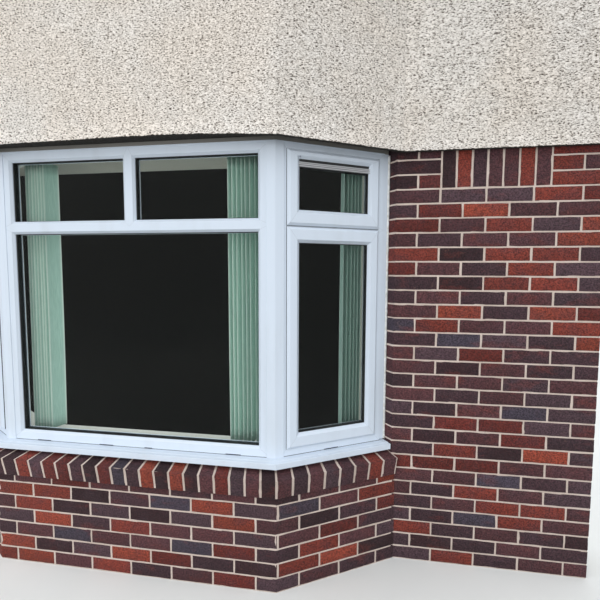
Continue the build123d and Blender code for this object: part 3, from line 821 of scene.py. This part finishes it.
# How far the hand-formed drip of the front rises above its level at the corners
DRIP_RISE = np.array([
    (-0.789, 0.0), (-0.72, 0.006), (-0.62, 0.014), (-0.39, 0.0165), (-0.2, 0.0175), (0.0, 0.0205), (0.2, 0.021),
    (0.35, 0.0185), (0.42, 0.018), (0.47, 0.013), (0.53, 0.012), (0.60, 0.009), (0.65, 0.005), (0.72, 0.002),
    (0.76, 0.0),
]).T
house_end = np.array([OUTER_X, WALL_Y])
render_line = Plan([house_end * across, meet * across, plinth_corner * across, plinth_corner, meet, house_end])


def render_section():
    """Outline of the render from behind its drip up to the top: out, up and facing."""
    places = []
    for t in np.arange(6) / 6:
        places.append((0.002 + (LIP - DRIP_ROUND) * t, DRIP + DRIP_ROUND - 0.002 * t, 0, -1))
    for angle in np.linspace(-math.pi / 2, 0, 5):
        x, z = math.cos(angle), math.sin(angle)
        places.append((LIP - DRIP_ROUND * (1 - x), DRIP + 0.002 + DRIP_ROUND * z, x, z))
    for rise in GRID * np.arange(1, int((WALL_TOP - DRIP - 0.002) / GRID)):
        swell = FLARE * (1 - rise / BELL_RISE) ** 2.1 if rise < BELL_RISE else 0.0
        places.append((RENDER_THICK + swell, DRIP + 0.002 + rise, 1, 0))
    places.append((RENDER_THICK, WALL_TOP, 1, 0))
    return np.array(places).T


outs, levels, facing_out, facing_up = render_section()
run_up = np.concatenate([[0], np.cumsum(np.hypot(np.diff(outs), np.diff(levels)))])
names = ["left_upper_wall", "left_bay_upper_wall", "front_upper_wall", "right_bay_upper_wall", "right_upper_wall"]
for part, name in enumerate(names):
    start, stop = render_line.marks[part], render_line.marks[part + 1]
    count = int((stop - start) / GRID)
    along = np.linspace(start, stop, count + 1)
    u, v = np.meshgrid(along, run_up, indexing="ij")
    height = 0.7 * stones(u, v, 0.0165, 3) + 0.3 * stones(u, v, 0.0105, 11)
    swell = 0.5 + 0.5 * np.sin(u * 2.3 + 1.0) * np.sin(v * 3.1 + u * 0.7)
    sunk = (1 - height) * STONE_RELIEF + swell * 0.0012
    hand = np.interp(u - (start + stop) / 2, *DRIP_RISE) if part == 2 else 0.0
    hand = hand * np.clip(1 - (levels - DRIP) / 0.16, 0, 1)[None, :]
    ragged = 0.0035 * stones(u, np.full_like(v, 0.5), 0.021, 23) + 0.002 * scatter(np.floor(u / 0.006), 0 * u, 5)
    fade = np.clip(1 - (levels - DRIP) / 0.02, 0, 1)[None, :] * (outs > LIP - 0.006)[None, :]
    out = outs[None, :] - sunk * facing_out[None, :] - 0.4 * ragged * fade
    level = levels[None, :] - sunk * facing_up[None, :] * 0.5 + ragged * fade + hand
    level[:, -1] = WALL_TOP
    shell = Shape()
    points = render_line(u, out, level)
    rows, columns = u.shape
    index = np.arange(rows * columns).reshape(rows, columns)
    # Painted shade: the underside of the drip is tinted nearly black, where shade falls under it
    drip_shade = np.where((outs < LIP - 0.003) & (levels < DRIP + 0.006), 0.03, 1.0)
    tints = np.broadcast_to(drip_shade[None, :, None] ** np.array([1.0, 1.04, 1.1]), points.shape)
    tints = np.concatenate([tints, np.ones((*u.shape, 1))], axis=-1)
    shell.add(points, quads_between(index).tolist(), tints.reshape(-1, 4), height.ravel())
    shell.build(name + "_roughcast", [ROUGHCAST], [name], "render", smooth=180, tidy=False)

    core = Shape()
    for slot, (near, far, low_level, high_level) in enumerate((
        (RENDER_THICK - 0.006, -0.001, DRIP + 0.032, WALL_TOP - 0.0005),
        (-0.0005, -0.1005, WALL_HEAD, WALL_TOP - 0.002),
        (-0.1, -0.1625, WALL_HEAD, WALL_TOP - 0.008),
        (-0.162, -0.2625, WALL_HEAD, WALL_TOP),
        (-0.2625, -0.275, WALL_HEAD, WALL_TOP),
    )):
        layer = np.array([near, near, far, far]), np.array([low_level, high_level, high_level, low_level])
        loft(core, [render_line(mark, *layer) for mark in (start, stop)], slot=slot)
    # A near-black strip at the soffit, in front of the top of the head extension: painted shade under the drip
    if 0 < part < 4:
        near, far, top = -0.0005, -SOFFIT_BACK, WALL_HEAD + 0.001
        soffit = np.array([near, near, far, far]), np.array([SOFFIT, top, top, SOFFIT])
        loft(core, [render_line(mark, *soffit) for mark in (start, stop)], tint=(0.03, 0.028, 0.026, 1))
    core.build(name + "_core", [ROUGHCAST, BLOCK, FOAM, BLOCK, PLASTER], [name], "render")


# ----------------------------------------------------------- window frames
FOOT = -0.005
SIDE_LEFT = 0.025
SIDE_RIGHT = SPLAY_LENGTH - 0.037
HALF_FRAME = HALF_FRONT - 0.025
HALF_CLEAR = HALF_FRAME - 0.062
TRANSOM_TOP, BAR = 1.190, 0.066
BAR_MIDDLE = TRANSOM_TOP - BAR / 2
HEAD_CLEAR = FRAME_HEIGHT - 0.053
FRONT_GLASS, SASH_GLASS = -0.022, -0.006
lower_light = (-HALF_CLEAR, HALF_CLEAR, 0.048, TRANSOM_TOP - BAR)
upper_right = (BAR / 2, HALF_CLEAR, TRANSOM_TOP, HEAD_CLEAR)
upper_left = (-HALF_CLEAR, -BAR / 2, TRANSOM_TOP, HEAD_CLEAR)
front_rings = (
    (lower_light, (-HALF_FRAME, HALF_FRAME, FOOT, BAR_MIDDLE)),
    (upper_right, (0.0, HALF_FRAME, BAR_MIDDLE, FRAME_HEIGHT)),
    (upper_left, (-HALF_FRAME, 0.0, BAR_MIDDLE, FRAME_HEIGHT)),
)
fixed_profile = [
    (1, 0.0, 0.0), (0, 0.012, 0.0), (0, 0.0, -0.012), (0, 0.0, -0.022), (0, 0.015, -0.022),
    (0, 0.015, -0.050), (0, -0.0024, -0.050), (0, -0.0024, -0.056), (0, 0.014, -0.070), (1, 0.0, -0.070),
]
fixed_radii = [0, 0.0014, 0.0012, 0.0006, 0, 0, 0.0006, 0.001, 0.001, 0]

# The sealed units: bite into the frame, panes, and their distance apart
BITE, PANE, UNIT = 0.012, 0.004, 0.024


def glazing(place, lights, face):
    """Sealed units: two panes, their black gaskets and the bar between them."""
    pane, seals, bars = Shape(), Shape(), Shape()
    bar_front, bar_back = face - PANE, face - UNIT
    for light in lights:
        endless = grown(light, 1.0)
        left, right, foot, head = grown(light, BITE)
        corners = np.array([left, right, right, left]), np.array([foot, foot, head, head])
        for depth in (face, face - UNIT):
            loft(pane, [place(corners[0], level, corners[1]) for level in (depth, depth - PANE)])
        for depth, sign, lip, reach in ((face, 1, 0.0034, 0.0056), (face - UNIT - PANE, -1, 0.0012, 0.0014)):
            profile = [
                (0, 0.002, depth), (0, -lip, depth), (0, -lip, depth + sign * 0.0008),
                (0, 0.0, depth + sign * reach), (0, 0.002, depth + sign * reach),
            ]
            ring(seals, place, light, endless, profile, 0.0004, 0.0)
        bar = [(0, 0.0002, bar_front), (0, 0.0002, bar_back), (0, 0.004, bar_back), (0, 0.004, bar_front)]
        ring(bars, place, light, endless, bar, 0.0005, 0.0)
    return pane, seals, bars


front = Shape()
for light, outer in front_rings:
    ring(front, front_place, light, outer, fixed_profile, fixed_radii)
front.build("front_window_frame", [WHITE], ["front_frame"], crisp=True)
for name, lights in (("lower", [lower_light]), ("upper", [upper_right, upper_left])):
    pane, seals, bars = glazing(front_place, lights, FRONT_GLASS)
    node = [f"front_{name}_glass"]
    pane.build(f"front_{name}_panes", [GLASS], node, "glass").visible_shadow = False
    seals.build(f"front_{name}_gaskets", [GASKET], node)
    bars.build(f"front_{name}_spacers", [SPACER], node)

# Side frames with their sashes
OVERLAP, MEETING, SASH_GAP, SIDE_SIGHT = 0.021, 1.1525, 0.003, 0.054
SASH_STILE, SASH_RAIL, FANLIGHT_HEAD = 0.064, 0.077, 0.0445
VENT_RISE, VENT_HEIGHT, VENT_LAP = 0.031, 0.0255, 0.012
clear_left, clear_right = SIDE_LEFT + SIDE_SIGHT, SIDE_RIGHT - SIDE_SIGHT
casement_clear = (clear_left, clear_right, SIDE_SIGHT, MEETING - SASH_GAP - OVERLAP)
fanlight_clear = (clear_left, clear_right, MEETING + SASH_GAP + OVERLAP, FRAME_HEIGHT - SIDE_SIGHT)


def inside_sash(outer, top_rail):
    left, right, foot, head = outer
    return (left + SASH_STILE, right - SASH_STILE, foot + SASH_RAIL, head - top_rail)


casement_outer, fanlight_outer = grown(casement_clear, OVERLAP), grown(fanlight_clear, OVERLAP)
casement_light = inside_sash(casement_outer, SASH_RAIL)
fanlight_light = inside_sash(fanlight_outer, FANLIGHT_HEAD)
side_profile = [
    (1, 0.0, 0.0), (0, 0.0, 0.0), (0, 0.0, -0.012), (0, 0.003, -0.014),
    (0, 0.003, -0.050), (0, 0.0, -0.052), (0, 0.0, -0.070), (1, 0.0, -0.070),
]
sash_profile = [
    (0, 0.0, -0.006), (0, 0.0, 0.003), (0, 0.015, 0.018), (1, 0.0135, 0.018), (1, 0.0, 0.0052),
    (1, 0.0, 0.0040), (1, 0.026, 0.0040), (1, 0.026, -0.0535), (0, 0.014, -0.0535), (0, 0.0, -0.040),
    (0, 0.0, -0.034), (0, 0.015, -0.034), (0, 0.015, -0.006),
]
sash_radii = [0.0006, 0.0012, 0.0014, 0.0014, 0.0008, 0, 0, 0.001, 0.001, 0.001, 0.0006, 0, 0]
weather_profile = [(0, 0.0, 0.0001), (0, 0.0, 0.0040), (1, 0.0014, 0.0040), (1, 0.0, 0.0016), (1, 0.0, 0.0001)]
fan_left, fan_right, fan_foot, fan_head = fanlight_light
VENT_FOOT = fan_head - 0.004 - VENT_RISE
fanlight_pane = (fan_left, fan_right, fan_foot, VENT_FOOT - 0.001)

surround = Shape()
ring(surround, splay_place, casement_clear, (SIDE_LEFT, SIDE_RIGHT, FOOT, MEETING), side_profile)
ring(surround, splay_place, fanlight_clear, (SIDE_LEFT, SIDE_RIGHT, MEETING, FRAME_HEIGHT), side_profile)
surround.build_pair("window_frame", [WHITE], "{}_frame", crisp=True)
for name, light, outer, pane_light in (
    ("casement", casement_light, casement_outer, casement_light),
    ("fanlight", fanlight_light, fanlight_outer, fanlight_pane),
):
    sash, glass = "{}_" + name + "_sash", "{}_" + name + "_glass"
    leaf, weather = Shape(), Shape()
    ring(leaf, splay_place, light, outer, sash_profile, sash_radii)
    ring(weather, splay_place, grown(outer, -0.004), grown(outer, 0.0014), weather_profile, 0.0003, 0.0)
    pane, seals, bars = glazing(splay_place, [pane_light], SASH_GLASS)
    leaf.build_pair(name + "_leaf", [WHITE], sash, crisp=True)
    weather.build_pair(name + "_weather_seal", [GASKET], sash)
    for piece in pane.build_pair(name + "_panes", [GLASS], glass, "glass"):
        piece.visible_shadow = False
    seals.build_pair(name + "_gaskets", [GASKET], glass)
    bars.build_pair(name + "_spacers", [SPACER], glass)

# Trickle vents over the fanlights: three flat ribs, with a black rubber strip above them that paints the shade under
# the sash rail's chamfer
rib = VENT_HEIGHT / 3
rib_outline = [(-0.021, VENT_FOOT), (0.0075, VENT_FOOT)]
for k in range(3):
    foot = VENT_FOOT + k * rib
    rib_outline += [(0.0098, foot + 0.0010), (0.0090, foot + rib - 0.0034), (0.0020, foot + rib - 0.0030)]
    rib_outline += [(0.0020, foot + rib - 0.0004)] if k < 2 else []
rib_outline += [(-0.021, VENT_FOOT + VENT_HEIGHT)]
# Painted shade: a black strip over the rail's chamfer, standing in for the shade under it
shade_strip_outline = [
    (-0.02, fan_head - 0.0095), (0.0040, fan_head - 0.0095), (0.0052, fan_head + 0.0010),
    (0.0035, fan_head + 0.0012), (0.003, fan_head + 0.0004), (-0.02, fan_head + 0.0004),
]


def vent_lap(out):
    """How far the vent's end follows the chamfer of the sash, less a hair."""
    return min(VENT_LAP, max(0.0, out - 0.003)) - 0.0002


def vent_start(out):
    return fan_left - vent_lap(out)


def vent_stop(out):
    return fan_right + vent_lap(out)


vent, shade_strip, cap = Shape(), Shape(), Shape()
run(vent, splay_place, rib_outline, vent_start, vent_stop, 0.0004)
run(shade_strip, splay_place, shade_strip_outline, vent_start, vent_stop, 0.0003)
CAP_ALONG, CAP_LEVEL = 0.120, 2.150 - FRAME_BASE
turns = np.linspace(0, 2 * math.pi, 16, endpoint=False)
loft(cap, [
    splay_place(CAP_ALONG + radius * np.cos(turns), out, CAP_LEVEL + radius * np.sin(turns))
    for radius, out in ((0.0034, 0.0170), (0.0034, 0.0186), (0.0026, 0.0191), (0.0010, 0.0192))
])
vent.build_pair("vent_ribs", [VENT], "trickle_vents", "vent_grey", crisp=True)
shade_strip.build_pair("vent_shade_strip", [GASKET], "trickle_vents", "vent_grey")
cap.build_pair("screw_cap", [CAP], "{}_fanlight_sash")

# Corner posts: a core between two frame ends, with covers inside and out
FLANGE, CORE_HALF, COVER, POST_BACK = 0.045, 0.025, 0.004, 0.074
LIPPED = FLANGE - 0.0015


def front_at(along, inward):
    return (HALF_FRONT - along, FRONT_Y + inward)


def splay_at(along, inward):
    return tuple(CORNER + SPLAY_ALONG * along - SPLAY_OUT * inward)


def mitre_at(inward):
    return (HALF_FRONT - inward * MITRE, FRONT_Y + inward)


post_outline = [
    front_at(FLANGE, 0), front_at(LIPPED, -COVER), mitre_at(-COVER), splay_at(LIPPED, -COVER), splay_at(FLANGE, 0),
    splay_at(CORE_HALF, 0), splay_at(CORE_HALF, FRAME_DEPTH), splay_at(FLANGE, FRAME_DEPTH),
    splay_at(LIPPED, POST_BACK), mitre_at(POST_BACK), front_at(LIPPED, POST_BACK),
    front_at(FLANGE, FRAME_DEPTH), front_at(CORE_HALF, FRAME_DEPTH), front_at(CORE_HALF, 0),
]
post_radii = [0, 0.0012, 0.004, 0.0012, 0, 0, 0, 0, 0.0012, 0.004, 0.0012, 0, 0, 0]
post = Shape()
prism(post, post_outline, FRAME_BASE + FOOT, FRAME_TOP, post_radii)
post.build_pair("post_cover", [WHITE], "{}_corner_post", crisp=True)


def strip(back, foot, front, head):
    """Outline of a thin strip, flat in front."""
    return [(back, foot), (front, foot), (front, head), (back, head)]


def along_frames(name, profile, materials, radius, front_slots=(), side_slots=()):
    """A strip along the foot or head of each frame, with drainage slots over it."""
    shapes = []
    for place, start, stop, slots in (
        (front_place, -HALF_FRAME, HALF_FRAME, front_slots), (splay_place, SIDE_LEFT, SIDE_RIGHT, side_slots),
    ):
        shape = Shape()
        run(shape, place, profile, cut(start), cut(stop), radius)
        for low, high in slots:
            run(shape, place, strip(-0.02, FOOT + 0.0005, 0.0007, FOOT + 0.0052), cut(low), cut(high), radius, 1)
        shapes.append(shape)
    shapes[0].build("front_" + name, materials, ["front_frame"])
    shapes[1].build_pair(name, materials, "{}_frame")


# The dark joint between the frames and the cill
along_frames(
    "foot_seam", strip(-0.02, FOOT + 0.0001, 0.0004, FOOT + 0.0021), [SPACER, SLOT], 0.0003,
    ((-0.580, -0.500), (-0.207, -0.127), (0.0535, 0.0965), (0.500, 0.580)), ((0.270, 0.350),),
)
# A rounded bead where the frames meet the trim over them
along_frames("head_bead", [
    (-0.004, FRAME_HEIGHT - 0.0045), (0.0034, FRAME_HEIGHT - 0.0045),
    (0.0040, FRAME_HEIGHT + 0.0010), (-0.004, FRAME_HEIGHT + 0.0020),
], [WHITE], 0.0012)

# Cill round the three faces
CILL_BACK, CILL_FOOT = FRAME_BASE + FOOT, SILL_TOP - 0.008
cill_profile = up_from_base([
    (-0.07, SILL_TOP), (-0.07, CILL_BACK), (0.0, CILL_BACK), (0.035, CILL_BACK - 0.0006), (0.0366, CILL_BACK - 0.0026),
    (0.057, FRAME_BASE - 0.0085), (0.057, CILL_FOOT), (0.053, CILL_FOOT),
    (0.053, SILL_TOP + 0.002), (0.038, SILL_TOP + 0.002), (0.038, SILL_TOP),
])
cill_radii = [0.001, 0, 0, 0.0006, 0.0005, 0.003, 0.001, 0.001, 0.0005, 0, 0.001]
front_cill, side_cill = Shape(), Shape()
run(front_cill, front_place, cill_profile, corner_cut_front_left, corner_cut_front, cill_radii)
front_cill.build("front_cill_run", [WHITE], ["front_cill"], crisp=True)
run(side_cill, splay_place, cill_profile, corner_cut_splay, extender_cut, cill_radii)
side_cill.build_pair("cill_run", [WHITE], "{}_cill", crisp=True)

# The silicone bead down the reveal, uneven as it was pressed by hand
BEAD_BACK, BEAD_OUT = -0.015, -0.003
for side, mirror in SIDES:
    sections = []
    for level in np.arange(0.0, FRAME_HEIGHT + 0.001, 0.009):
        press = rng.normal(0, 0.0007, 3)
        along, out = np.array([
            (extender_cut(BEAD_BACK) - 0.001, BEAD_BACK),
            (extender_cut(BEAD_OUT) - 0.0035 + press[0], BEAD_OUT + 0.0002),
            (extender_cut(BEAD_OUT) + 0.003, BEAD_OUT + 0.0022 + press[1] * 0.6),
            (reveal_cut(BEAD_OUT + 0.004) - 0.0005, BEAD_OUT + 0.0035 + press[2]),
            (reveal_cut(BEAD_BACK) + 0.001, BEAD_BACK),
        ]).T
        sections.append(splay_place(along, out, level))
    bead = Shape()
    loft(bead, sections)
    bead.build(side + "_silicone_bead", [SEALANT], ["sealant_joints"], "sealant", mirror, smooth=180)

# ------------------------------------------------------------------ blinds
VANE_FOOT, VANE_HEAD, VANE_WIDTH = 0.677, 2.1955, 0.089
VANE_ROWS, VANE_THICK, VANE_CUP = 24, 0.0005, 0.0036
RAIL_DEPTH = FRAME_DEPTH + 0.045 + VANE_WIDTH / 2
RAIL_INSIDE = (RAIL_DEPTH + 0.02) * MITRE
# Painted shade for the splay vanes, which hang deeper in the wall's shade
SHADED = (0.57, 0.64, 0.63)


def vane(place, along, turn, lean, tint):
    """One hung strip of cloth, slightly cupped, turned about its hanger."""
    half = np.array([0.0, 0.011, 0.022, 0.033, 0.0425, VANE_WIDTH / 2])
    widths = np.concatenate([-half[:0:-1], half])
    columns = len(widths)
    levels = np.linspace(VANE_FOOT, VANE_HEAD, VANE_ROWS) - FRAME_BASE
    sway = rng.normal(0, 0.0008)
    w, z = np.meshgrid(widths, levels)
    bend = sway * np.sin((z - levels[0]) * 3.0) + lean * (levels[-1] - z) / (VANE_HEAD - VANE_FOOT)
    grids = []
    for face in (-VANE_THICK / 2, VANE_THICK / 2):
        cup = VANE_CUP * (1 - (w / VANE_WIDTH * 2) ** 2) + face
        x = along + cup * math.cos(turn) - w * math.sin(turn) + bend
        out = -RAIL_DEPTH + w * math.cos(turn) + cup * math.sin(turn)
        grids.append(place(x, out, z).reshape(-1, 3))
    size = VANE_ROWS * columns
    index = np.arange(size).reshape(VANE_ROWS, columns)
    quads = quads_between(index)[:, [0, 3, 2, 1]]
    faces = quads.tolist() + (quads[:, ::-1] + size).tolist()
    rim = list(index[0]) + list(index[1:, -1]) + list(index[-1, :-1][::-1]) + list(index[1:-1, 0][::-1])
    faces += [(b, a, a + size, b + size) for a, b in zip(rim, rim[1:] + rim[:1])]
    hem_highlight = np.tile(np.where(np.abs(widths) > 0.042, 1.0, 0.0), 2 * VANE_ROWS)
    shape = Shape()
    shape.add(np.concatenate(grids), faces, (*tint, 1), hem_highlight)
    return shape


def hang(prefix, node, place, first, pitch, count, mirror, turns, lean=0.0, fade=(1.0, 1.0, 1.0)):
    """A drawn-back stack of vanes, counted from the side it is drawn to."""
    for number in range(count):
        turn = np.interp(number, (0, count - 1), turns) + rng.normal(0, 0.05)
        # fade multiplies the cloth's tint: painted shade on the vanes it is given to
        cloth = vane(place, first - pitch * number, turn, lean, np.array(fade) * rng.uniform(0.94, 1.04))
        piece = cloth.build(f"{prefix}_{number + 1}", [CLOTH], [node], "blind_fabric", mirror, smooth=180)


front_last = HALF_FRONT - 0.030 - RAIL_INSIDE - 0.012
splay_last = SPLAY_LENGTH - 0.060 - 0.020 - 0.018
hang("front_right_vane", "front_vanes", front_place, front_last + 0.006, 0.023, 9, False, (0.10, 0.26), 0.006)
hang("front_left_vane", "front_vanes", front_place, front_last + 0.007, 0.018, 7, True, (-0.55, -0.36), 0.010)
for side, mirror in SIDES:
    hang(side + "_vane", side + "_vanes", splay_place, splay_last, 0.0205, 6, mirror, (0.05, 0.2), fade=SHADED)


# --------------------------------------------- solid pieces that stay as built
# Each gets its finish and slightly rounded edges
for node, material in (
    ("head_extension", HEAD_TRIM_SHADED), ("left_extender", WHITE), ("right_extender", WHITE), ("left_handles", HANDLE),
    ("right_handles", HANDLE), ("window_board", BOARD_SHADED), ("bay_ceiling", CEILING_SHADED), ("blind_rails", RAIL),
):
    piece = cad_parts[node]
    piece.data.materials.clear()
    piece.data.materials.append(material)
    piece.modifiers.new("weld", "WELD").merge_threshold = 0.00005
    bevel = piece.modifiers.new("bevel", "BEVEL")
    bevel.width = 0.0012
    bevel.segments = 2
    bevel.limit_method = "ANGLE"
    bevel.angle_limit = math.radians(40)
    flatten(piece)

# ------------------------------------------------------- stage, light, camera
SKY_LOW, SKY_HIGH, SKY_UNDER, SKY_BEHIND = 0.82, 1.56, 0.22, 0.78
SKY_COLOUR, PALE = (0.93, 0.965, 1.0, 1), (0.86, 0.86, 0.86, 1)


def stage_box(name, low, high, material):
    mesh = bpy.data.meshes.new(name)
    work = bmesh.new()
    bmesh.ops.create_cube(work, size=1.0)
    for vertex in work.verts:
        vertex.co = (np.add(low, high) / 2 + np.subtract(high, low) * vertex.co).tolist()
    work.to_mesh(mesh)
    work.free()
    mesh.materials.append(material)
    made = bpy.data.objects.new(name, mesh)
    bpy.context.scene.collection.objects.link(made)
    made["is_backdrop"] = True
    return made


# A pale floor to look at, which sends up less light than it shows
paint = Paint("floor", Roughness=0.9)
pale = paint.mix(paint.patches(1.2, 0.3, 0.7), rgb(232, 232, 229), rgb(227, 227, 224))
behind = paint.ramp(paint.node("SeparateXYZ", Vector=paint.place).outputs[1], 0.2, 0.6)
paint.colour(paint.mix(paint.seen(), paint.mix(behind, rgb(130, 131, 128), rgb(52, 52, 51)), pale))
stage_box("floor", (-9, -9, -0.02), (9, 9, -0.0005), paint.material)

# A plain dark backdrop well behind the part, met only by what is seen through the glass: painted shade standing in for
# the unlit room behind the windows
paint = Paint("dark_backdrop", Roughness=1.0)
paint.colour(paint.mix(paint.patches(1.5, 0.3, 0.7), rgb(3, 3, 3), rgb(6, 5, 5)))
backdrop = stage_box("dark_backdrop", (-4.5, 1.2, -0.0004), (4.5, 1.25, 4.2), paint.material)
backdrop.visible_camera = False
backdrop.visible_diffuse = False
backdrop.visible_glossy = False
backdrop.visible_shadow = False

# An even pale background to look at, and an overcast sky to light the object,
# lower behind the part as it is for the room side of a window
world = bpy.data.worlds.new("studio")
bpy.context.scene.world = world
sky = Nodes(world)
way = sky.node("SeparateXYZ", Vector=sky.node("TexCoord").outputs["Generated"]).outputs
strength = sky.times(sky.ramp(way[2], -0.02, 0.9, SKY_LOW, SKY_HIGH), sky.ramp(way[2], -0.05, 0.0, SKY_UNDER, 1.0))
strength = sky.times(strength, sky.ramp(way[1], 0.0, 0.6, 1.0, SKY_BEHIND))
choice = sky.node("MixShader")
sky.put(choice.inputs[0], sky.seen())
sky.put(choice.inputs[1], sky.node("Background", Color=SKY_COLOUR, Strength=strength).outputs[0])
sky.put(choice.inputs[2], sky.node("Background", Color=PALE).outputs[0])
sky.node("OutputWorld", Surface=choice.outputs[0])


def aimed(name, data, position, right, up, back):
    """A lamp or camera at a place, with its own axes given in the world's."""
    made = bpy.data.objects.new(name, data)
    turn = Matrix(np.column_stack([right, up, back]).tolist()).to_4x4()
    made.matrix_world = Matrix.Translation(position) @ turn
    bpy.context.scene.collection.objects.link(made)
    return made


# One soft lamp in front, above and to the left
LAMP, LAMP_AIM = (-0.8, -6.0, 2.0), (0, 0, 1.5)
light = bpy.data.lights.new("sky_front", "AREA")
light.shape = "RECTANGLE"
light.size, light.size_y = 6.0, 3.0
light.energy = 160
way = np.subtract(LAMP_AIM, LAMP)
way /= np.linalg.norm(way)
right = np.cross(way, (0, 0, 1))
right /= np.linalg.norm(right)
softbox = aimed("sky_front", light, LAMP, right, np.cross(right, way), -way)
softbox.visible_glossy = False
softbox.visible_transmission = False

scene = bpy.context.scene
scene.view_settings.view_transform = "Standard"

# The camera, fitted to the brick courses and the frame
CAMERA = (1.1696, -2.1061, 1.5974)
YAW, PITCH, ROLL = math.radians(8.680), math.radians(4.157), math.radians(0.242)
FOCAL_PIXELS, PICTURE_PIXELS = 395.78, 600
ahead = np.array([-math.sin(YAW), math.cos(YAW), 0.0])
right = np.array([math.cos(YAW), math.sin(YAW), 0.0])
up = np.array([0.0, 0.0, 1.0])
look = ahead * math.cos(PITCH) - up * math.sin(PITCH)
lift = up * math.cos(PITCH) + ahead * math.sin(PITCH)
camera_right = right * math.cos(ROLL) + lift * math.sin(ROLL)
camera_up = lift * math.cos(ROLL) - right * math.sin(ROLL)
camera_data = bpy.data.cameras.new("camera")
camera_data.sensor_fit = "HORIZONTAL"
camera_data.sensor_width = 36.0
camera_data.lens = FOCAL_PIXELS / PICTURE_PIXELS * 36.0
camera_data.clip_start = 0.05
scene.camera = aimed("camera", camera_data, CAMERA, camera_right, camera_up, -look)

new_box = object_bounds()
boxes = {"cad": cad_box, "visual": new_box}
{key: [[float(v) for v in p] for p in box] for key, box in boxes.items()}
